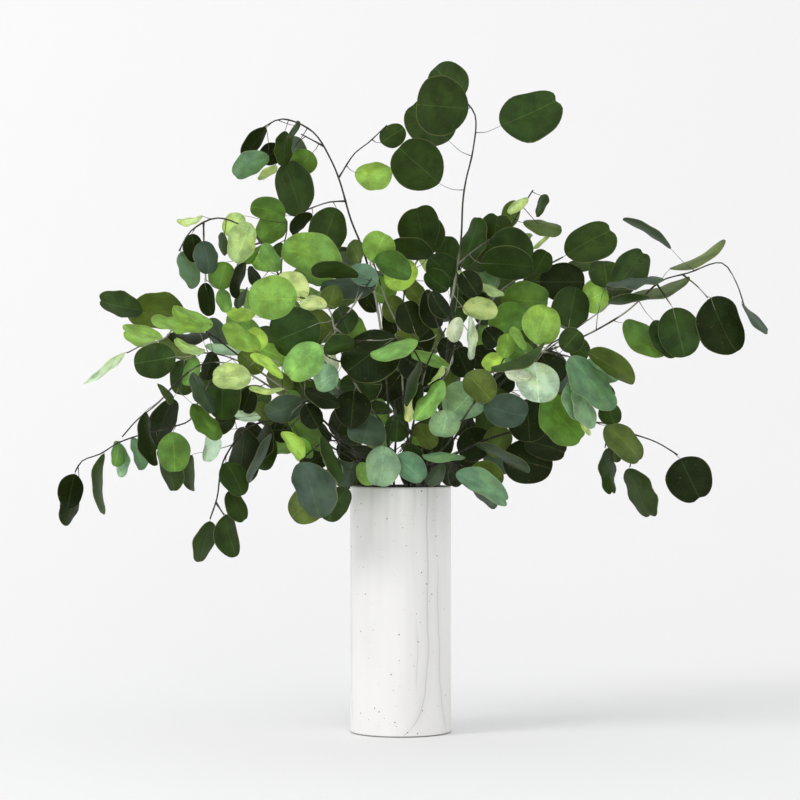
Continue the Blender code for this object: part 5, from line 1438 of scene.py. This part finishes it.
def vase_of(glaze):
    """The vase, turned from its profile: a straight wall, a rounded lip and a small foot ring."""
    out = VASE_ACROSS / 2
    inside = out - VASE_WALL
    rim = VASE_WALL / 2
    lip = [(out - rim + rim * math.cos(turn), VASE_HIGH - rim * 0.7 + rim * 0.7 * math.sin(turn))
           for turn in [math.radians(15 * k) for k in range(13)]]
    corner = [(inside - FLOOR_ROUND * (1 - math.cos(turn)), VASE_FLOOR + FLOOR_ROUND * (1 - math.sin(turn)))
              for turn in [math.radians(90 - 15 * k) for k in range(7)]]
    foot = [(out - FOOT_SOFT * (1 - math.cos(turn)), FOOT_SOFT * (1 - math.sin(turn)))
            for turn in [math.radians(15 * k) for k in range(7)]]
    ring = [(out - 0.008, 0), (out - 0.0095, 0.0012), (0, 0.0012)]
    line = [(0, VASE_FLOOR)] + corner + list(reversed(lip)) + foot + ring
    deselect()
    mesh = bpy.data.meshes.new("vase_profile")
    mesh.from_pydata([(across, 0, up) for across, up in line], [(k, k + 1) for k in range(len(line) - 1)], [])
    thing = bpy.data.objects.new("vase_profile", mesh)
    bpy.context.scene.collection.objects.link(thing)
    only(thing)
    turn = thing.modifiers.new("turned on the wheel", "SCREW")
    turn.steps = turn.render_steps = VASE_STEPS
    turn.use_merge_vertices = True
    turn.merge_threshold = 0.00005
    bpy.ops.object.modifier_apply(modifier=turn.name)
    bpy.ops.object.mode_set(mode="EDIT")
    bpy.ops.mesh.select_all(action="SELECT")
    bpy.ops.mesh.normals_make_consistent(inside=False)
    bpy.ops.object.mode_set(mode="OBJECT")
    bpy.ops.object.shade_smooth_by_angle(angle=math.radians(40))
    thing.data.materials.append(glaze)
    return thing


def studio():
    """A pale seamless sweep: a floor that rises behind in one soft curve to a wall."""
    deselect()
    material, tree = new_material("sweep_paper")
    show(tree, add(tree, "BsdfPrincipled", {
        "Base Color": linear(SWEEP_WHITE), "Roughness": 0.9, "Specular IOR Level": 0.1,
    }))
    rise = [(SWEEP_BEND * math.sin(turn) + SWEEP_FLAT, SWEEP_BEND * (1 - math.cos(turn)))
            for turn in [math.radians(7.5 * k) for k in range(13)]]
    line = [(-SWEEP_HALF, 0)] + rise + [(SWEEP_FLAT + SWEEP_BEND, SWEEP_HALF)]
    mesh = bpy.data.meshes.new("sweep")
    points = [(side * SWEEP_HALF, back, up) for back, up in line for side in (-1, 1)]
    mesh.from_pydata(points, [], [(2 * k, 2 * k + 1, 2 * k + 3, 2 * k + 2) for k in range(len(line) - 1)])
    sweep = bpy.data.objects.new("sweep", mesh)
    bpy.context.scene.collection.objects.link(sweep)
    mesh.materials.append(material)
    mesh.shade_smooth()


def lamp(name, place, size, watts, colour, aim=(0, 0, 0.35)):
    """A square soft box at a place, turned to the bunch."""
    light = bpy.data.lights.new(name, "AREA")
    light.shape = "SQUARE"
    light.size = size
    light.energy = watts
    light.color = colour
    thing = bpy.data.objects.new(name, light)
    thing.location = place
    thing.rotation_euler = (Vector(aim) - Vector(place)).to_track_quat("-Z", "Y").to_euler()
    bpy.context.scene.collection.objects.link(thing)


def light_and_view():
    """A big soft box at the front left and above, weak light from all round, and the camera at eye height."""
    world = bpy.data.worlds.new("studio")
    bpy.context.scene.world = world
    world.use_nodes = True
    world.node_tree.nodes["Background"].inputs["Color"].default_value = (1, 1, 1, 1)
    world.node_tree.nodes["Background"].inputs["Strength"].default_value = ROOM_LIGHT
    for soft_box in SOFT_BOXES:
        lamp(*soft_box)
    camera = bpy.data.objects.new("camera", bpy.data.cameras.new("camera"))
    camera.data.sensor_width = 36
    camera.data.lens = LENS
    camera.data.clip_end = 30
    camera.location = (EYE_ASIDE, -EYE_AWAY, EYE_HEIGHT)
    camera.rotation_euler = (math.pi / 2, 0, 0)
    bpy.context.scene.collection.objects.link(camera)
    bpy.context.scene.camera = camera
    bpy.context.scene.view_settings.view_transform = "Standard"


def main():
    """Dresses every branch, the vase and the water, and sets up the studio."""
    branches = laid_out()
    draw = random.Random(LOOKS_SEED)
    pattern = flat_leaf()
    leaf_skin = leaf_blade_material()
    stem_bark = bark_material("eucalyptus_stem_bark", "#46463a", "#33302a", "#7d7a6c")
    twig_bark = bark_material("eucalyptus_twig_bark", "#3f4032", "#2e2b26", "#6b685b")
    stalk_skin = bark_material("eucalyptus_leaf_stalk", "#5c6840", "#3a382b", "#77785a")
    for name, branch in branches.items():
        for leaf in branch["leaves"]:
            leaf["form"] = own_form(draw, leaf["look"])
        leafage = blades(name + "_leaves", branch["leaves"], pattern, draw)
        leafage.data.materials.append(leaf_skin)
        finish_piece(leafage, name + "_leaves", "eucalyptus_leaf", name)
        wooden = wood_of(name + "_wood", branch, (stem_bark, twig_bark, stalk_skin))
        finish_piece(wooden, name + "_wood", "eucalyptus_bark", name)
    finish_piece(vase_of(glaze_material()), "vase_glazed", "glazed_stoneware", "vase")
    still_water = water_material()
    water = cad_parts["water"]
    water.data.materials.clear()
    water.data.materials.append(still_water)
    studio()
    light_and_view()


main()
